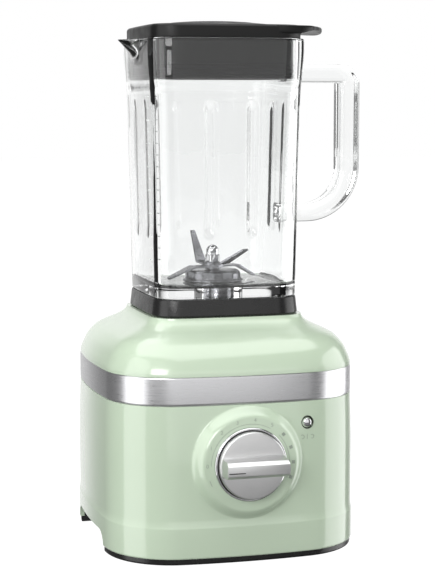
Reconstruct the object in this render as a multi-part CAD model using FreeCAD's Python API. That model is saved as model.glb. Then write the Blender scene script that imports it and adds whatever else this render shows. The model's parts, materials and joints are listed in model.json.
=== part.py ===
import FreeCAD, Part
import math
import os

# Countertop blender with a glass jar. Millimetres, +Z up, the front faces -Y.
# The origin is the centre of the base's footprint, on the surface it stands on.

V = FreeCAD.Vector
X_AXIS, Y_AXIS, Z_AXIS = V(1, 0, 0), V(0, 1, 0), V(0, 0, 1)

# ---- Driving dimensions -------------------------------------------------------------

# Base housing, a square with bowed sides seen from above
BASE_HALF_X = 103.2         # half width at the middle of a side, above the plinth
BASE_HALF_Y = 104.9         # half depth
BASE_CORNER = 55.0          # plan corner radius
BASE_BOW = 500.0            # radius of each bowed side
BASE_WALL = 3.2             # casting wall
PLINTH_PROUD = 0.7          # the plinth stands out from the wall above it
PLINTH_TOP = 31.5
TAPER_START = 80.0          # the walls lean in above this height
TAPER_INSET = 1.0           # by this much where the trim band starts
FOOT_TOP = 5.3              # top of the foot plates, where the casting starts
PAD_STAND = 0.5             # rubber pads stand out this much under the foot plates
FOOT_INSET = 0.6            # foot plates stand back from the casting

BAND_Z = 123.2              # lower edge of the trim band
BAND_HEIGHT = 22.1
BAND_THICK = 1.3
LIP_THICK = 2.6             # casting lip behind the band
DOME_HEIGHT = 39.7
DOME_WALL = 3.0
NECK_HALF = 62.9            # half width of the dome's flat top
NECK_CORNER = 22.0
NECK_BOW = 900.0

# Grip tunnel through the foot from side to side
TUNNEL_FRONT = -47.0
TUNNEL_REAR = 52.0
TUNNEL_HEIGHT = 17.0
TUNNEL_CORNER = 12.0
PAN_THICK = 2.5

# Motor
SHAFT_R = 4.0
BEARING_R = 11.0
BEARING_LENGTH = 7.0
ARMATURE_R = 22.0
AIR_GAP = 0.6
STACK_HEIGHT = 50.0
STATOR_HALF = ARMATURE_R + 20.0
COMMUTATOR_R = 11.0
COMMUTATOR_LENGTH = 12.0
FAN_R = 38.0
MOUNT_X, MOUNT_Y = 46.0, 32.0
MOUNT_R = 7.0
BOLT_AT = STATOR_HALF - 6.0  # motor through-bolts at plus and minus this

# Dial and button
DIAL_Z = 78.5
BOSS_TOP_R = 37.5
BOSS_EDGE_R = 8.0
BOSS_RISE = 7.4             # boss face in front of the casting
KNOB_R = 26.0
KNOB_THICK = 7.2
GRIP_HEIGHT = 14.0
GRIP_DEPTH = 15.5
BEZEL_WIDTH = 2.0
DIAL_SHAFT_R = 3.0
BUTTON_X, BUTTON_Z = 48.4, 106.7
BUTTON_R = 3.3
BUTTON_RING_R = 5.3
BUTTON_TRAVEL = 1.5

# Jar
COLLAR_HEIGHT = 13.9
COLLAR_HALF_BOTTOM = 60.4
COLLAR_HALF_TOP = 58.8
SEAT_HALF = 51.0
SEAT_HEIGHT = 4.5
JAR_HEIGHT = 202.2
JAR_HALF_BOTTOM = 58.4
JAR_HALF_TOP = 62.0
JAR_CORNER = 19.0
JAR_WALL = 6.5
JAR_FLOOR = 7.8
RIM_HALF = 64.0             # the jar widens to this at its step
RIM_HEIGHT = 38.5           # height of the wider part
SPOUT_REACH = 14.0
SPOUT_HALF = 15.0
SPOUT_DROP = 17.0
SPOUT_WALL = 3.6
RIB_R = 4.0
HANDLE_THICK = 15.0
HANDLE_WIDTH = 24.0
HANDLE_REACH = 115.8        # jar axis to the middle of the grip
HANDLE_TOP_BEND = 10.0
HANDLE_LOW_BEND = 38.0
HANDLE_TOP_DROP = 26.2      # rim to the middle of the handle's top bar
HANDLE_SPAN = 113.0         # top bar to lower joint, middle to middle

# Blade unit
COUPLER_R = 14.2
COUPLER_TEETH = 6
COUPLER_TOOTH = 5.0
HOUSING_R = COUPLER_R + 5.2  # sleeve round the coupling
HUB_R = HOUSING_R + 3.2
HUB_FLANGE_R = HUB_R + 2.0
HUB_RISE = 10.0
BLADE_SHAFT_R = 4.0
BLADE_THICK = 1.5
NUT_R = HOUSING_R + 7.6
ACORN_FLATS = 11.0

# Lid
LID_HALF = 61.5
LID_CORNER = 20.5
LID_HEIGHT = 10.3
LID_WALL = 2.8
PLUG_DEPTH = 31.2
SEAL_THICK = 2.4
TAB_REACH = 89.6
TAB_THICK = 6.5
# the thumb lip's edge from the lid's corner to its tip, as shares of its reach and of the lid's half width
TAB_EDGE = ((-0.10, 0.985), (0.12, 0.995), (0.473, 0.935), (0.658, 0.748), (0.798, 0.569), (0.944, 0.293))
TAB_HOLLOW = 3.0            # how far its underside is scooped towards the tip
CAP_R = 30.5
CAP_FLANGE_R = 35.0
CAP_RISE = 4.0
CROWN_R = 56.0              # foot of the shallow crown round the cap
CROWN_RISE = 2.4
CAP_DEPTH = 34.0
CAP_WALL = 2.5

# Screws, posts, board and cord gland
FOOT_SCREW_X = 40.0
FOOT_SCREW_FRONT, FOOT_SCREW_REAR = -78.0, 80.0
FOOT_POST_R = 5.5
FOOT_POST_TOP = 30.0
SCREW_R = 2.0
SCREW_HEAD_R = 4.0
SCREW_HEAD = 2.5
JOIN_X = BASE_HALF_X - 37.2  # screws between the lower and upper housing
JOIN_Y = BASE_HALF_Y - 40.9
JOIN_POST_R = 6.0
JOIN_LUG_REACH = 3.4        # post radii from a screw out to the casting's corner
SPIGOT_DEPTH = 8.0
SPIGOT_THICK = 2.5
PAD_X, PAD_FRONT, PAD_REAR = 70.0, -82.0, 84.0
PAD_R = 9.0
PAD_SUNK = 2.8
BOARD_Y = -88.0
BOARD_THICK = 1.6
BOARD_LOW = (-44.0, 60.0)
BOARD_HIGH = (62.0, 116.0)
BOARD_POST_R = 3.2
BOARD_SCREW_R = 1.25
GLAND_Z = 34.0
GLAND_BORE = 3.8
GLAND_R = 6.4
GLAND_FLANGE_R = 9.0

# Motor details
COIL_X = (ARMATURE_R + 2.5, ARMATURE_R + 10.0)
COIL_Y = ARMATURE_R + 11.5
COIL_WIDTH = 8.5
COIL_OVERHANG = 7.0
COLUMN_R = 4.2
BRUSH_HALF = 3.4
HOLDER_HALF = 6.0
HOLDER_LENGTH = 22.0

# Small pieces of the controls, the blade unit and the lid
ENCODER_HALF = 8.0
PLUNGER_R = 1.3
BUSH_R = 8.0
HOUSING_LID = 1.6
BLADE_HUB_R = 9.0
PLUG_CORNER = 13.0

# Named clearances
BODY_GAP = 0.3              # between pieces that move apart
RUNNING_FIT = 0.02          # radial, shaft in bearing
FIT = 0.1                   # between pieces that are fastened together
COUPLER_PLAY = 0.4
SEAT_PLAY = 0.5

# ---- Levels and sizes worked out from them --------------------------------------------

BAND_TOP = BAND_Z + BAND_HEIGHT
NECK_Z = BAND_TOP + DOME_HEIGHT
PAN_ROOF = TUNNEL_HEIGHT + PAN_THICK
PAN_FLOOR = FOOT_TOP + PAN_THICK
BOSS_Y = -(BASE_HALF_Y + BOSS_RISE)

MOUNT_TOP = PAN_ROOF + 13.5
BRACKET_THICK = 3.0
LOW_BEARING_Z = MOUNT_TOP + 1.0
COMMUTATOR_Z = LOW_BEARING_Z + BEARING_LENGTH + 2.0
STACK_Z = COMMUTATOR_Z + COMMUTATOR_LENGTH + 9.0
STACK_TOP = STACK_Z + STACK_HEIGHT
TOP_BRACKET_Z = STACK_TOP + 10.0
TOP_BEARING_Z = TOP_BRACKET_Z + 1.0
FAN_Z = PAN_ROOF + 3.5

SEAT_TOP = NECK_Z + SEAT_HEIGHT
COLLAR_Z = NECK_Z + BODY_GAP
GLASS_Z = COLLAR_Z + COLLAR_HEIGHT
FLOOR_Z = GLASS_Z + JAR_FLOOR
RIM_Z = GLASS_Z + JAR_HEIGHT
STEP_Z = RIM_Z - RIM_HEIGHT
LID_Z = RIM_Z + BODY_GAP
LID_TOP = LID_Z + LID_HEIGHT
PLUG_Z = LID_Z - PLUG_DEPTH
HUB_TOP = FLOOR_Z + HUB_RISE
WEB_Z = GLASS_Z - 4.0       # underside of the collar's web
NUT_Z = WEB_Z - 4.8
HANDLE_Z = RIM_Z - HANDLE_TOP_DROP
JOIN_LUG_Z = BAND_Z + 3.0
JOIN_LUG_TOP = JOIN_LUG_Z + 6.0
COUPLING_HOLE_R = COUPLER_R + 9.8
FOOT_SCREW_SEAT = PAD_STAND + 3.5
SWITCH_Y = BOARD_Y - 5.0
ENCODER_FACE = BOARD_Y - 9.0
KNOB_BACK = BOSS_Y - 0.6
KNOB_FACE = KNOB_BACK - KNOB_THICK
STAR_Z = NECK_Z + 1.4
STAR_TOP = STAR_Z + 6.6
GASKET_TOP = FLOOR_Z + 1.0
FLANGE_TOP = GASKET_TOP + 2.0
COUPLER_CAVITY_R = COUPLER_R + 3.8
SPINDLE_PLATE_Z = STAR_TOP + COUPLER_PLAY + 3.2
SEAL_Z = HUB_TOP - 4.6
BLADE_Z = HUB_TOP + 2.0
PLUG_HALF = RIM_HALF - JAR_WALL - BODY_GAP - SEAL_THICK - 0.6
TUBE_R = CAP_R + 0.5


# ---- Helpers ----------------------------------------------------------------------------

def bowed_square(half_x, half_y, corner, bow, z):
    """Closed outline: four long shallow arcs joined by four tangent corner arcs."""
    front = V(0, bow - half_y, 0)
    side = V(half_x - bow, 0, 0)
    reach = bow - corner
    middle = (front + side) * 0.5
    half_gap = (front - side).Length / 2
    along = (front - side).normalize()
    across = V(along.y, -along.x, 0)
    centre = middle + across * math.sqrt(reach ** 2 - half_gap ** 2)
    on_front = front + (centre - front).normalize() * bow
    on_side = side + (centre - side).normalize() * bow
    outward = ((on_front - centre) + (on_side - centre)).normalize()
    on_corner = centre + outward * corner

    def at(point, sx, sy):
        return V(point.x * sx, point.y * sy, z)

    edges = []
    for sx, sy in ((1, 1), (1, -1), (-1, -1), (-1, 1)):
        points = [at(on_front, sx, sy), at(on_corner, sx, sy), at(on_side, sx, sy)]
        if sx * sy < 0:
            points.reverse()
        edges.append(Part.Arc(*points).toShape())
        if sx * sy > 0:
            middle_of_side = V(half_x * sx, 0, z)
        else:
            middle_of_side = V(0, -half_y * sy, z)
        next_point = V(points[2].x, -points[2].y, z) if sx * sy > 0 else V(-points[2].x, points[2].y, z)
        edges.append(Part.Arc(points[2], middle_of_side, next_point).toShape())
    return Part.Wire(Part.__sortEdges__(edges))


def base_outline(z, inset=0.0, lean=0.0):
    """Outline of the base at its full size, moved in by inset and by the walls' lean."""
    step = inset + lean
    return bowed_square(BASE_HALF_X - step, BASE_HALF_Y - step, BASE_CORNER - step, BASE_BOW - step, z)


def square_outline(half, corner, z):
    """Outline of the jar family: a square with rounded corners and nearly flat sides."""
    return bowed_square(half, half, corner, NECK_BOW, z)


def slab(outline, height):
    return Part.Face(outline).extrude(Z_AXIS * height)


def skin(outlines, ruled=False):
    return Part.makeLoft(outlines, True, ruled)


def rod(radius, start, end, axis=Z_AXIS, at=V(0, 0, 0)):
    """Cylinder from start to end along an axis that passes through a point."""
    return Part.makeCylinder(radius, end - start, at + axis * start, axis)


def tube(inner, outer, start, end, axis=Z_AXIS, at=V(0, 0, 0)):
    return rod(outer, start, end, axis, at).cut(rod(inner, start, end, axis, at))


def box(low, high):
    return Part.makeBox(high[0] - low[0], high[1] - low[1], high[2] - low[2], V(*low))


def corners(x, y):
    """Four points, one in each quadrant."""
    return [V(sx * x, sy * y, 0) for sx in (-1, 1) for sy in (-1, 1)]


def joined(first, *others):
    return first.fuse(list(others)).removeSplitter()


def polygon_prism(points, direction):
    """Closed outline through points, extruded."""
    return Part.Face(Part.makePolygon(points + points[:1])).extrude(direction)


def save(node, *shapes):
    """Write a node: one solid, or a group of like solids."""
    solids = [solid for shape in shapes for solid in shape.Solids]
    for solid in solids:
        if not solid.isValid():
            raise ValueError(node + " is not a valid solid")
    body = solids[0] if len(solids) == 1 else Part.makeCompound(solids)
    body.exportStep("parts/" + node + ".step")


# ---- Base housing -----------------------------------------------------------------------

def tunnel(grow=0.0):
    """Grip tunnel's hollow, or the outside of its hood when grown by the pan's thickness."""
    front, rear = TUNNEL_FRONT - grow, TUNNEL_REAR + grow
    top, corner = TUNNEL_HEIGHT + grow, TUNNEL_CORNER + grow
    reach = BASE_HALF_X * 1.2
    slant = corner * (1 - math.sqrt(0.5))
    edges = [
        Part.makeLine(V(-reach, rear, -1), V(-reach, front, -1)),
        Part.makeLine(V(-reach, front, -1), V(-reach, front, top - corner)),
        Part.Arc(V(-reach, front, top - corner), V(-reach, front + slant, top - slant),
                 V(-reach, front + corner, top)).toShape(),
        Part.makeLine(V(-reach, front + corner, top), V(-reach, rear - corner, top)),
        Part.Arc(V(-reach, rear - corner, top), V(-reach, rear - slant, top - slant),
                 V(-reach, rear, top - corner)).toShape(),
        Part.makeLine(V(-reach, rear, top - corner), V(-reach, rear, -1)),
    ]
    return Part.Face(Part.Wire(edges)).extrude(X_AXIS * 2 * reach)


def casting_envelope(inset=0.0):
    """Outside of the lower housing without its plinth, or the inside when inset."""
    low = skin([base_outline(FOOT_TOP, inset), base_outline(TAPER_START, inset)], True)
    high = skin([base_outline(TAPER_START, inset), base_outline(BAND_Z, inset, TAPER_INSET)], True)
    return joined(low, high)


def dial_boss(shrink=0.0):
    """Round boss behind the dial, turned about the dial's axis."""
    radius = BOSS_TOP_R - shrink
    edge = BOSS_EDGE_R
    face = BOSS_Y + shrink
    slant = edge * math.sqrt(0.5)
    shoulder = V(radius + slant, face + edge - slant, DIAL_Z)
    root = face + 4 * edge
    edges = [
        Part.makeLine(V(0, root, DIAL_Z), V(0, face, DIAL_Z)),
        Part.makeLine(V(0, face, DIAL_Z), V(radius, face, DIAL_Z)),
        Part.Arc(V(radius, face, DIAL_Z), shoulder, V(radius + edge, face + edge, DIAL_Z)).toShape(),
        Part.makeLine(V(radius + edge, face + edge, DIAL_Z), V(radius + edge, root, DIAL_Z)),
        Part.makeLine(V(radius + edge, root, DIAL_Z), V(0, root, DIAL_Z)),
    ]
    return Part.Face(Part.Wire(edges)).revolve(V(0, 0, DIAL_Z), Y_AXIS, 360)


def foot_screw_places():
    return [V(sx * FOOT_SCREW_X, y, 0) for sx in (-1, 1) for y in (FOOT_SCREW_FRONT, FOOT_SCREW_REAR)]


def board_screw_places():
    edge = BOARD_POST_R + 1.0
    return [V(x, 0, z) for x in (BOARD_LOW[0] + edge, BOARD_HIGH[0] - edge)
            for z in (BOARD_LOW[1] + edge, BOARD_HIGH[1] - edge)]


def lower_housing():
    """Painted casting: walls, plinth, dial boss, button hole, posts and the lip for the band."""
    outside = casting_envelope()
    below_band = box((-BASE_HALF_X, -2 * BASE_HALF_Y, 0), (BASE_HALF_X, 0, BAND_Z))
    plinth_top = PLINTH_TOP - PLINTH_PROUD
    plinth = joined(
        skin([base_outline(FOOT_TOP, -PLINTH_PROUD), base_outline(plinth_top, -PLINTH_PROUD)], True),
        skin([base_outline(plinth_top, -PLINTH_PROUD), base_outline(PLINTH_TOP)], True))
    lip_inset = TAPER_INSET + BAND_THICK + FIT
    lip = slab(base_outline(BAND_Z - 4.0, lip_inset), BAND_HEIGHT + 4.0 - BODY_GAP)
    inner_lip = lip_inset + LIP_THICK
    walls = joined(outside, plinth, dial_boss().common(below_band), lip)
    hollow = casting_envelope(BASE_WALL).common(slab(base_outline(0, -BASE_WALL), BAND_Z - 4.0))
    walls = walls.cut([hollow, slab(base_outline(BAND_Z - 4.0, inner_lip), BAND_HEIGHT + 4.0),
                       dial_boss(BASE_WALL).common(below_band)])
    inside = joined(outside, lip)
    posts = []
    for place in foot_screw_places():
        end = math.copysign(BASE_HALF_Y, place.y)
        near, far = min(place.y, end), max(place.y, end)
        rib = box((place.x - 2, near, PAN_FLOOR), (place.x + 2, far, FOOT_POST_TOP))
        posts += [rod(FOOT_POST_R, PAN_FLOOR, FOOT_POST_TOP, at=place), rib.common(inside)]
    for place in board_screw_places():
        post = rod(BOARD_POST_R, -BASE_HALF_Y, BOARD_Y, Y_AXIS, place)
        posts.append(post.common(inside))
    for place in corners(JOIN_X, JOIN_Y):
        back = V(math.copysign(JOIN_POST_R, place.x), math.copysign(JOIN_POST_R, place.y), 0)
        near, far = place - back, place + back * JOIN_LUG_REACH
        lug = box((min(near.x, far.x), min(near.y, far.y), JOIN_LUG_Z),
                  (max(near.x, far.x), max(near.y, far.y), JOIN_LUG_TOP))
        posts.append(lug.common(slab(base_outline(BAND_Z, inner_lip - 1.0), BAND_HEIGHT)))
    walls = joined(walls, *posts)
    holes = [tunnel()]
    holes += [rod(SCREW_R, 0, FOOT_POST_TOP - 8.0, at=place) for place in foot_screw_places()]
    holes += [rod(BOARD_SCREW_R, BOARD_Y - 8.0, BOARD_Y + 1.0, Y_AXIS, place)
              for place in board_screw_places()]
    holes += [rod(SCREW_R + FIT, JOIN_LUG_Z - 1, JOIN_LUG_TOP + 1, at=place)
              for place in corners(JOIN_X, JOIN_Y)]
    holes.append(rod(DIAL_SHAFT_R + BODY_GAP + FIT, BOSS_Y - 1, -BASE_HALF_Y / 2, Y_AXIS, V(0, 0, DIAL_Z)))
    button = V(BUTTON_X, 0, BUTTON_Z)
    holes.append(rod(BUTTON_SLEEVE_R, -BASE_HALF_Y - 5, -BASE_HALF_Y / 2, Y_AXIS, button))
    holes.append(rod(BUTTON_RING_R, -BASE_HALF_Y - 5, BUTTON_SEAT_Y, Y_AXIS, button))
    holes.append(rod(GLAND_R, BASE_HALF_Y / 2, BASE_HALF_Y + 5, Y_AXIS, V(0, 0, GLAND_Z)))
    return walls.cut(holes)


def button_wall_y():
    """Outside of the front wall at the button, on its bowed face."""
    lean = TAPER_INSET * (BUTTON_Z - TAPER_START) / (BAND_Z - TAPER_START)
    bow = BASE_BOW - lean
    return -BASE_HALF_Y + lean + bow - math.sqrt(bow ** 2 - BUTTON_X ** 2)


BUTTON_SLEEVE_R = BUTTON_R + BODY_GAP + 0.8
BUTTON_SEAT_Y = button_wall_y() + 1.2
BUTTON_FACE_Y = BUTTON_SEAT_Y - 2.0


def dome_outline(half, z):
    """The dome's plan turns from the base's outline into the neck's as it narrows."""
    lean = TAPER_INSET
    share = (half - NECK_HALF) / (BASE_HALF_X - lean - NECK_HALF)
    half_y = NECK_HALF + share * (BASE_HALF_Y - lean - NECK_HALF)
    corner = NECK_CORNER + share * (BASE_CORNER - lean - NECK_CORNER)
    bow = NECK_BOW + share * (BASE_BOW - lean - NECK_BOW)
    return bowed_square(half, half_y, corner, bow, z)


def dome_envelope(inset=0.0):
    """Convex shoulder running into a short hollow neck."""
    foot_half = BASE_HALF_X - TAPER_INSET
    spread = foot_half - NECK_HALF
    # share of the height, and share of the spread still left at that height
    stations = ((0.0, 1.0), (0.21, 0.94), (0.40, 0.84), (0.56, 0.69), (0.65, 0.55),
                (0.735, 0.36), (0.80, 0.21), (0.88, 0.075), (1.0, 0.0))
    outlines = [dome_outline(NECK_HALF + left * spread - inset, BAND_TOP + rise * DOME_HEIGHT - inset)
                for rise, left in stations]
    return skin(outlines)


def upper_housing():
    """Painted dome with a flange, a spigot inside the lip and four screw posts."""
    outside = dome_envelope()
    coupling_hole = rod(COUPLING_HOLE_R, BAND_TOP, NECK_Z + 1)
    shell = outside.cut([dome_envelope(DOME_WALL * 0.8)])
    spigot_inset = TAPER_INSET + BAND_THICK + FIT + LIP_THICK + 0.15
    inner = spigot_inset + SPIGOT_THICK
    flange = slab(base_outline(BAND_TOP, TAPER_INSET), 3.0).common(outside)
    flange = flange.cut(slab(base_outline(BAND_TOP, inner), 3.0))
    spigot = slab(base_outline(BAND_TOP - SPIGOT_DEPTH, spigot_inset), SPIGOT_DEPTH)
    spigot = spigot.cut(slab(base_outline(BAND_TOP - SPIGOT_DEPTH, inner), SPIGOT_DEPTH))
    posts = []
    for place in corners(JOIN_X, JOIN_Y):
        post = rod(JOIN_POST_R, JOIN_LUG_TOP, BAND_TOP + 10.0, at=place)
        reach = V(math.copysign(JOIN_POST_R * 1.7, place.x), math.copysign(JOIN_POST_R * 1.7, place.y), 0)
        arm = Part.makeBox(2 * JOIN_POST_R, 2 * JOIN_POST_R, 3.0,
                           place + reach + V(-JOIN_POST_R, -JOIN_POST_R, BAND_TOP))
        posts += [post, arm.common(slab(base_outline(BAND_TOP, inner - 1.0), 3.0))]
    body = joined(shell, flange, spigot, *posts)
    pilots = [rod(SCREW_R, JOIN_LUG_TOP - 1, BAND_TOP + 6.0, at=place) for place in corners(JOIN_X, JOIN_Y)]
    return body.cut(pilots + [coupling_hole])


def trim_band():
    outside = slab(base_outline(BAND_Z, TAPER_INSET), BAND_HEIGHT)
    return outside.cut(slab(base_outline(BAND_Z, TAPER_INSET + BAND_THICK), BAND_HEIGHT))


def bottom_pan():
    """Floor pan with a hood over the grip tunnel, air slots and four motor posts."""
    inside = slab(base_outline(FOOT_TOP, BASE_WALL + FIT), PAN_ROOF - FOOT_TOP)
    floor = slab(base_outline(FOOT_TOP, BASE_WALL + FIT), PAN_THICK)
    pan = joined(floor, tunnel(PAN_THICK).common(inside))
    posts = [rod(MOUNT_R, PAN_ROOF, PAN_ROOF + 6.5, at=place) for place in corners(MOUNT_X, MOUNT_Y)]
    pan = joined(pan.cut(tunnel()), *posts)
    holes = [rod(SCREW_R + FIT, 0, PAN_FLOOR + 1, at=place) for place in foot_screw_places()]
    holes += [rod(SCREW_R, PAN_ROOF + 1.0, PAN_ROOF + 7.0, at=place) for place in corners(MOUNT_X, MOUNT_Y)]
    slot = box((-1.5, 14.0, TUNNEL_HEIGHT - 1), (1.5, FAN_R - 6.0, PAN_ROOF + 1))
    for number in range(12):
        turned = slot.copy()
        turned.rotate(V(0, 0, 0), Z_AXIS, number * 30 + 15)
        holes.append(turned)
    return pan.cut(holes)


def pad_places():
    return [V(sx * PAD_X, y, 0) for sx in (-1, 1) for y in (PAD_FRONT, PAD_REAR)]


def foot_plate(front):
    """Black foot plate ahead of the tunnel or behind it, with pad and screw recesses."""
    plate = slab(base_outline(PAD_STAND, FOOT_INSET), FOOT_TOP - PAD_STAND)
    reach = BASE_HALF_X * 2
    if front:
        keep = box((-reach, -reach, 0), (reach, TUNNEL_FRONT, FOOT_TOP))
    else:
        keep = box((-reach, TUNNEL_REAR, 0), (reach, reach, FOOT_TOP))
    recesses = [rod(PAD_R + FIT, 0, PAD_STAND + PAD_SUNK, at=place) for place in pad_places()]
    recesses += [rod(SCREW_HEAD_R + FIT, 0, FOOT_SCREW_SEAT, at=place) for place in foot_screw_places()]
    recesses += [rod(SCREW_R + FIT, 0, FOOT_TOP + 1, at=place) for place in foot_screw_places()]
    return plate.common(keep).cut(recesses)


def screw(place, seat, length, up=True, axis=Z_AXIS, shank=SCREW_R, head=SCREW_HEAD_R, height=SCREW_HEAD):
    """Pan-head screw whose head bears on seat, with the shank going up or down the axis."""
    if up:
        body = joined(rod(shank, seat, seat + length, axis, place),
                      rod(head, seat - height, seat, axis, place))
        slot_at = place + axis * (seat - height)
    else:
        body = joined(rod(shank, seat - length, seat, axis, place),
                      rod(head, seat, seat + height, axis, place))
        slot_at = place + axis * (seat + height)
    return body.cut(Part.makeSphere(head * 0.28, slot_at))


def cord_gland():
    """Strain-relief gland for the supply cord, through the back wall."""
    place = V(0, 0, GLAND_Z)
    outer = BASE_HALF_Y + PLINTH_PROUD + FIT
    inner = BASE_HALF_Y - BASE_WALL - 4.5
    sleeve = rod(GLAND_R, inner, outer + 0.5, Y_AXIS, place)
    flange = rod(GLAND_FLANGE_R, outer, outer + 2.5, Y_AXIS, place)
    return joined(sleeve, flange).cut(rod(GLAND_BORE, inner - 1, outer + 4, Y_AXIS, place))


def save_base():
    save("lower_housing", lower_housing())
    save("upper_housing", upper_housing())
    save("trim_band", trim_band())
    save("bottom_pan", bottom_pan())
    save("foot_plate_front", foot_plate(True))
    save("foot_plate_rear", foot_plate(False))
    save("rubber_feet", *[rod(PAD_R, 0, PAD_STAND + PAD_SUNK, at=place) for place in pad_places()])
    save("bottom_screws", *[screw(place, FOOT_SCREW_SEAT, 16.0) for place in foot_screw_places()])
    save("housing_screws", *[screw(place, JOIN_LUG_Z, BAND_TOP - JOIN_LUG_Z)
                             for place in corners(JOIN_X, JOIN_Y)])
    save("cord_gland", cord_gland())
    seat = slab(square_outline(SEAT_HALF, NECK_CORNER - NECK_HALF + SEAT_HALF + 4.0, NECK_Z), SEAT_HEIGHT)
    spigot = rod(COUPLING_HOLE_R - FIT, NECK_Z - 3.5, NECK_Z)
    bore = rod(COUPLING_HOLE_R - 3.9, NECK_Z - 5, SEAT_TOP + 1)
    save("jar_seat", joined(seat, spigot).cut(bore))


# ---- Motor ------------------------------------------------------------------------------


def stator():
    """Laminated stack with a round bore and four windows for the field coils."""
    stack = slab(square_outline(STATOR_HALF, 10.0, STACK_Z), STACK_HEIGHT)
    cuts = [rod(ARMATURE_R + AIR_GAP, STACK_Z, STACK_TOP)]
    for sx in (-1, 1):
        for sy in (-1, 1):
            xs = sorted((sx * (COIL_X[0] - FIT), sx * (COIL_X[1] + FIT)))
            ys = sorted((sy * (COIL_Y - COIL_WIDTH - FIT), sy * (COIL_Y + FIT)))
            cuts.append(box((xs[0], ys[0], STACK_Z), (xs[1], ys[1], STACK_TOP)))
    cuts += [rod(SCREW_R, STACK_Z, STACK_TOP, at=place) for place in corners(BOLT_AT, BOLT_AT)]
    return stack.cut(cuts)


def field_coil(side):
    """One field coil: a frame of wire round a pole."""
    xs = sorted((side * COIL_X[0], side * COIL_X[1]))
    outer = box((xs[0], -COIL_Y, STACK_Z - COIL_OVERHANG), (xs[1], COIL_Y, STACK_TOP + COIL_OVERHANG))
    inner_y = COIL_Y - COIL_WIDTH
    return outer.cut(box((xs[0], -inner_y, STACK_Z), (xs[1], inner_y, STACK_TOP)))


def bracket(plate_z, bearing_z, stack_face, half_x, half_y):
    """End bracket: plate, bearing cup and four columns that bear on the stack."""
    plate = slab(bowed_square(half_x, half_y, 12.0, NECK_BOW, plate_z), BRACKET_THICK)
    cup = rod(BEARING_R + 2.5, plate_z, bearing_z + BEARING_LENGTH)
    low, high = sorted((plate_z, stack_face))
    columns = [rod(COLUMN_R, low, high, at=place) for place in corners(BOLT_AT, BOLT_AT)]
    body = joined(plate, cup, *columns)
    cuts = [rod(BEARING_R, bearing_z, bearing_z + BEARING_LENGTH + 1),
            rod(SHAFT_R + 2.0, plate_z - 1, bearing_z)]
    cuts += [rod(SCREW_R, low - 1, high + 5, at=place) for place in corners(BOLT_AT, BOLT_AT)]
    cuts += [rod(6.0, plate_z - 1, plate_z + BRACKET_THICK + 1, at=place)
             for place in (V(26, 0, 0), V(-26, 0, 0))]
    return body.cut(cuts)


def bearing(z):
    return tube(SHAFT_R + RUNNING_FIT, BEARING_R, z, z + BEARING_LENGTH)


def brush_parts(side):
    """Holder, carbon brush and spring on one side of the commutator."""
    middle = COMMUTATOR_Z + COMMUTATOR_LENGTH / 2
    near = COMMUTATOR_R + 2.5
    far = near + HOLDER_LENGTH
    tip = COMMUTATOR_R + BODY_GAP
    hollow = BRUSH_HALF + FIT

    def between(y0, y1, half, z0, z1):
        ys = sorted((side * y0, side * y1))
        return box((-half, ys[0], z0), (half, ys[1], z1))

    holder = between(near, far, HOLDER_HALF, middle - HOLDER_HALF, middle + HOLDER_HALF)
    leg = between(far - 8.0, far, HOLDER_HALF, MOUNT_TOP + BRACKET_THICK, middle - HOLDER_HALF)
    holder = joined(holder, leg).cut(between(near - 1, far - 2.0, hollow, middle - hollow, middle + hollow))
    brush = between(tip, tip + 10.5, BRUSH_HALF, middle - BRUSH_HALF, middle + BRUSH_HALF)
    spring_start, spring_end = sorted((side * (tip + 10.5), side * (far - 2.0)))
    spring = tube(1.7, 2.7, spring_start, spring_end, Y_AXIS, V(0, 0, middle))
    return holder, brush, spring


def motor_screw(place):
    return screw(place, MOUNT_TOP + BRACKET_THICK, MOUNT_TOP + BRACKET_THICK - PAN_ROOF - 1.5, up=False)


def save_motor():
    save("motor_stator", stator())
    save("field_coils", field_coil(-1), field_coil(1))
    lower = bracket(MOUNT_TOP, LOW_BEARING_Z, STACK_Z, MOUNT_X + 8.0, BOLT_AT + 6.0)
    mount_holes = [rod(SCREW_R + 2 * FIT, MOUNT_TOP - 1, MOUNT_TOP + BRACKET_THICK + 1, at=place)
                   for place in corners(MOUNT_X, MOUNT_Y)]
    save("motor_bracket_lower", lower.cut(mount_holes))
    plate_half = BOLT_AT + 6.0
    save("motor_bracket_upper", bracket(TOP_BRACKET_Z, TOP_BEARING_Z, STACK_TOP, plate_half, plate_half))
    save("lower_bearing", bearing(LOW_BEARING_Z))
    save("upper_bearing", bearing(TOP_BEARING_Z))
    sides = [brush_parts(-1), brush_parts(1)]
    for index, node in enumerate(("brush_holders", "carbon_brushes", "brush_springs")):
        save(node, *[side[index] for side in sides])
    mounts = [tube(SCREW_R + 2 * FIT, MOUNT_R, PAN_ROOF + 6.5, MOUNT_TOP, at=place)
              for place in corners(MOUNT_X, MOUNT_Y)]
    save("motor_mounts", *mounts)
    save("motor_screws", *[motor_screw(place) for place in corners(MOUNT_X, MOUNT_Y)])
    bolt_seat = TOP_BRACKET_Z + BRACKET_THICK
    save("motor_bolts", *[screw(place, bolt_seat, bolt_seat - MOUNT_TOP, up=False)
                          for place in corners(BOLT_AT, BOLT_AT)])
    save("fan_shroud", tube(FAN_R + 3.0, FAN_R + 4.5, PAN_ROOF, FAN_Z + 8.5))


def armature_core():
    core = tube(SHAFT_R, ARMATURE_R, STACK_Z, STACK_TOP)
    slot = box((-1.6, ARMATURE_R - 8.0, STACK_Z), (1.6, ARMATURE_R + 1, STACK_TOP))
    slots = []
    for number in range(12):
        turned = slot.copy()
        turned.rotate(V(0, 0, 0), Z_AXIS, number * 30)
        slots.append(turned)
    return core.cut(slots)


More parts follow.
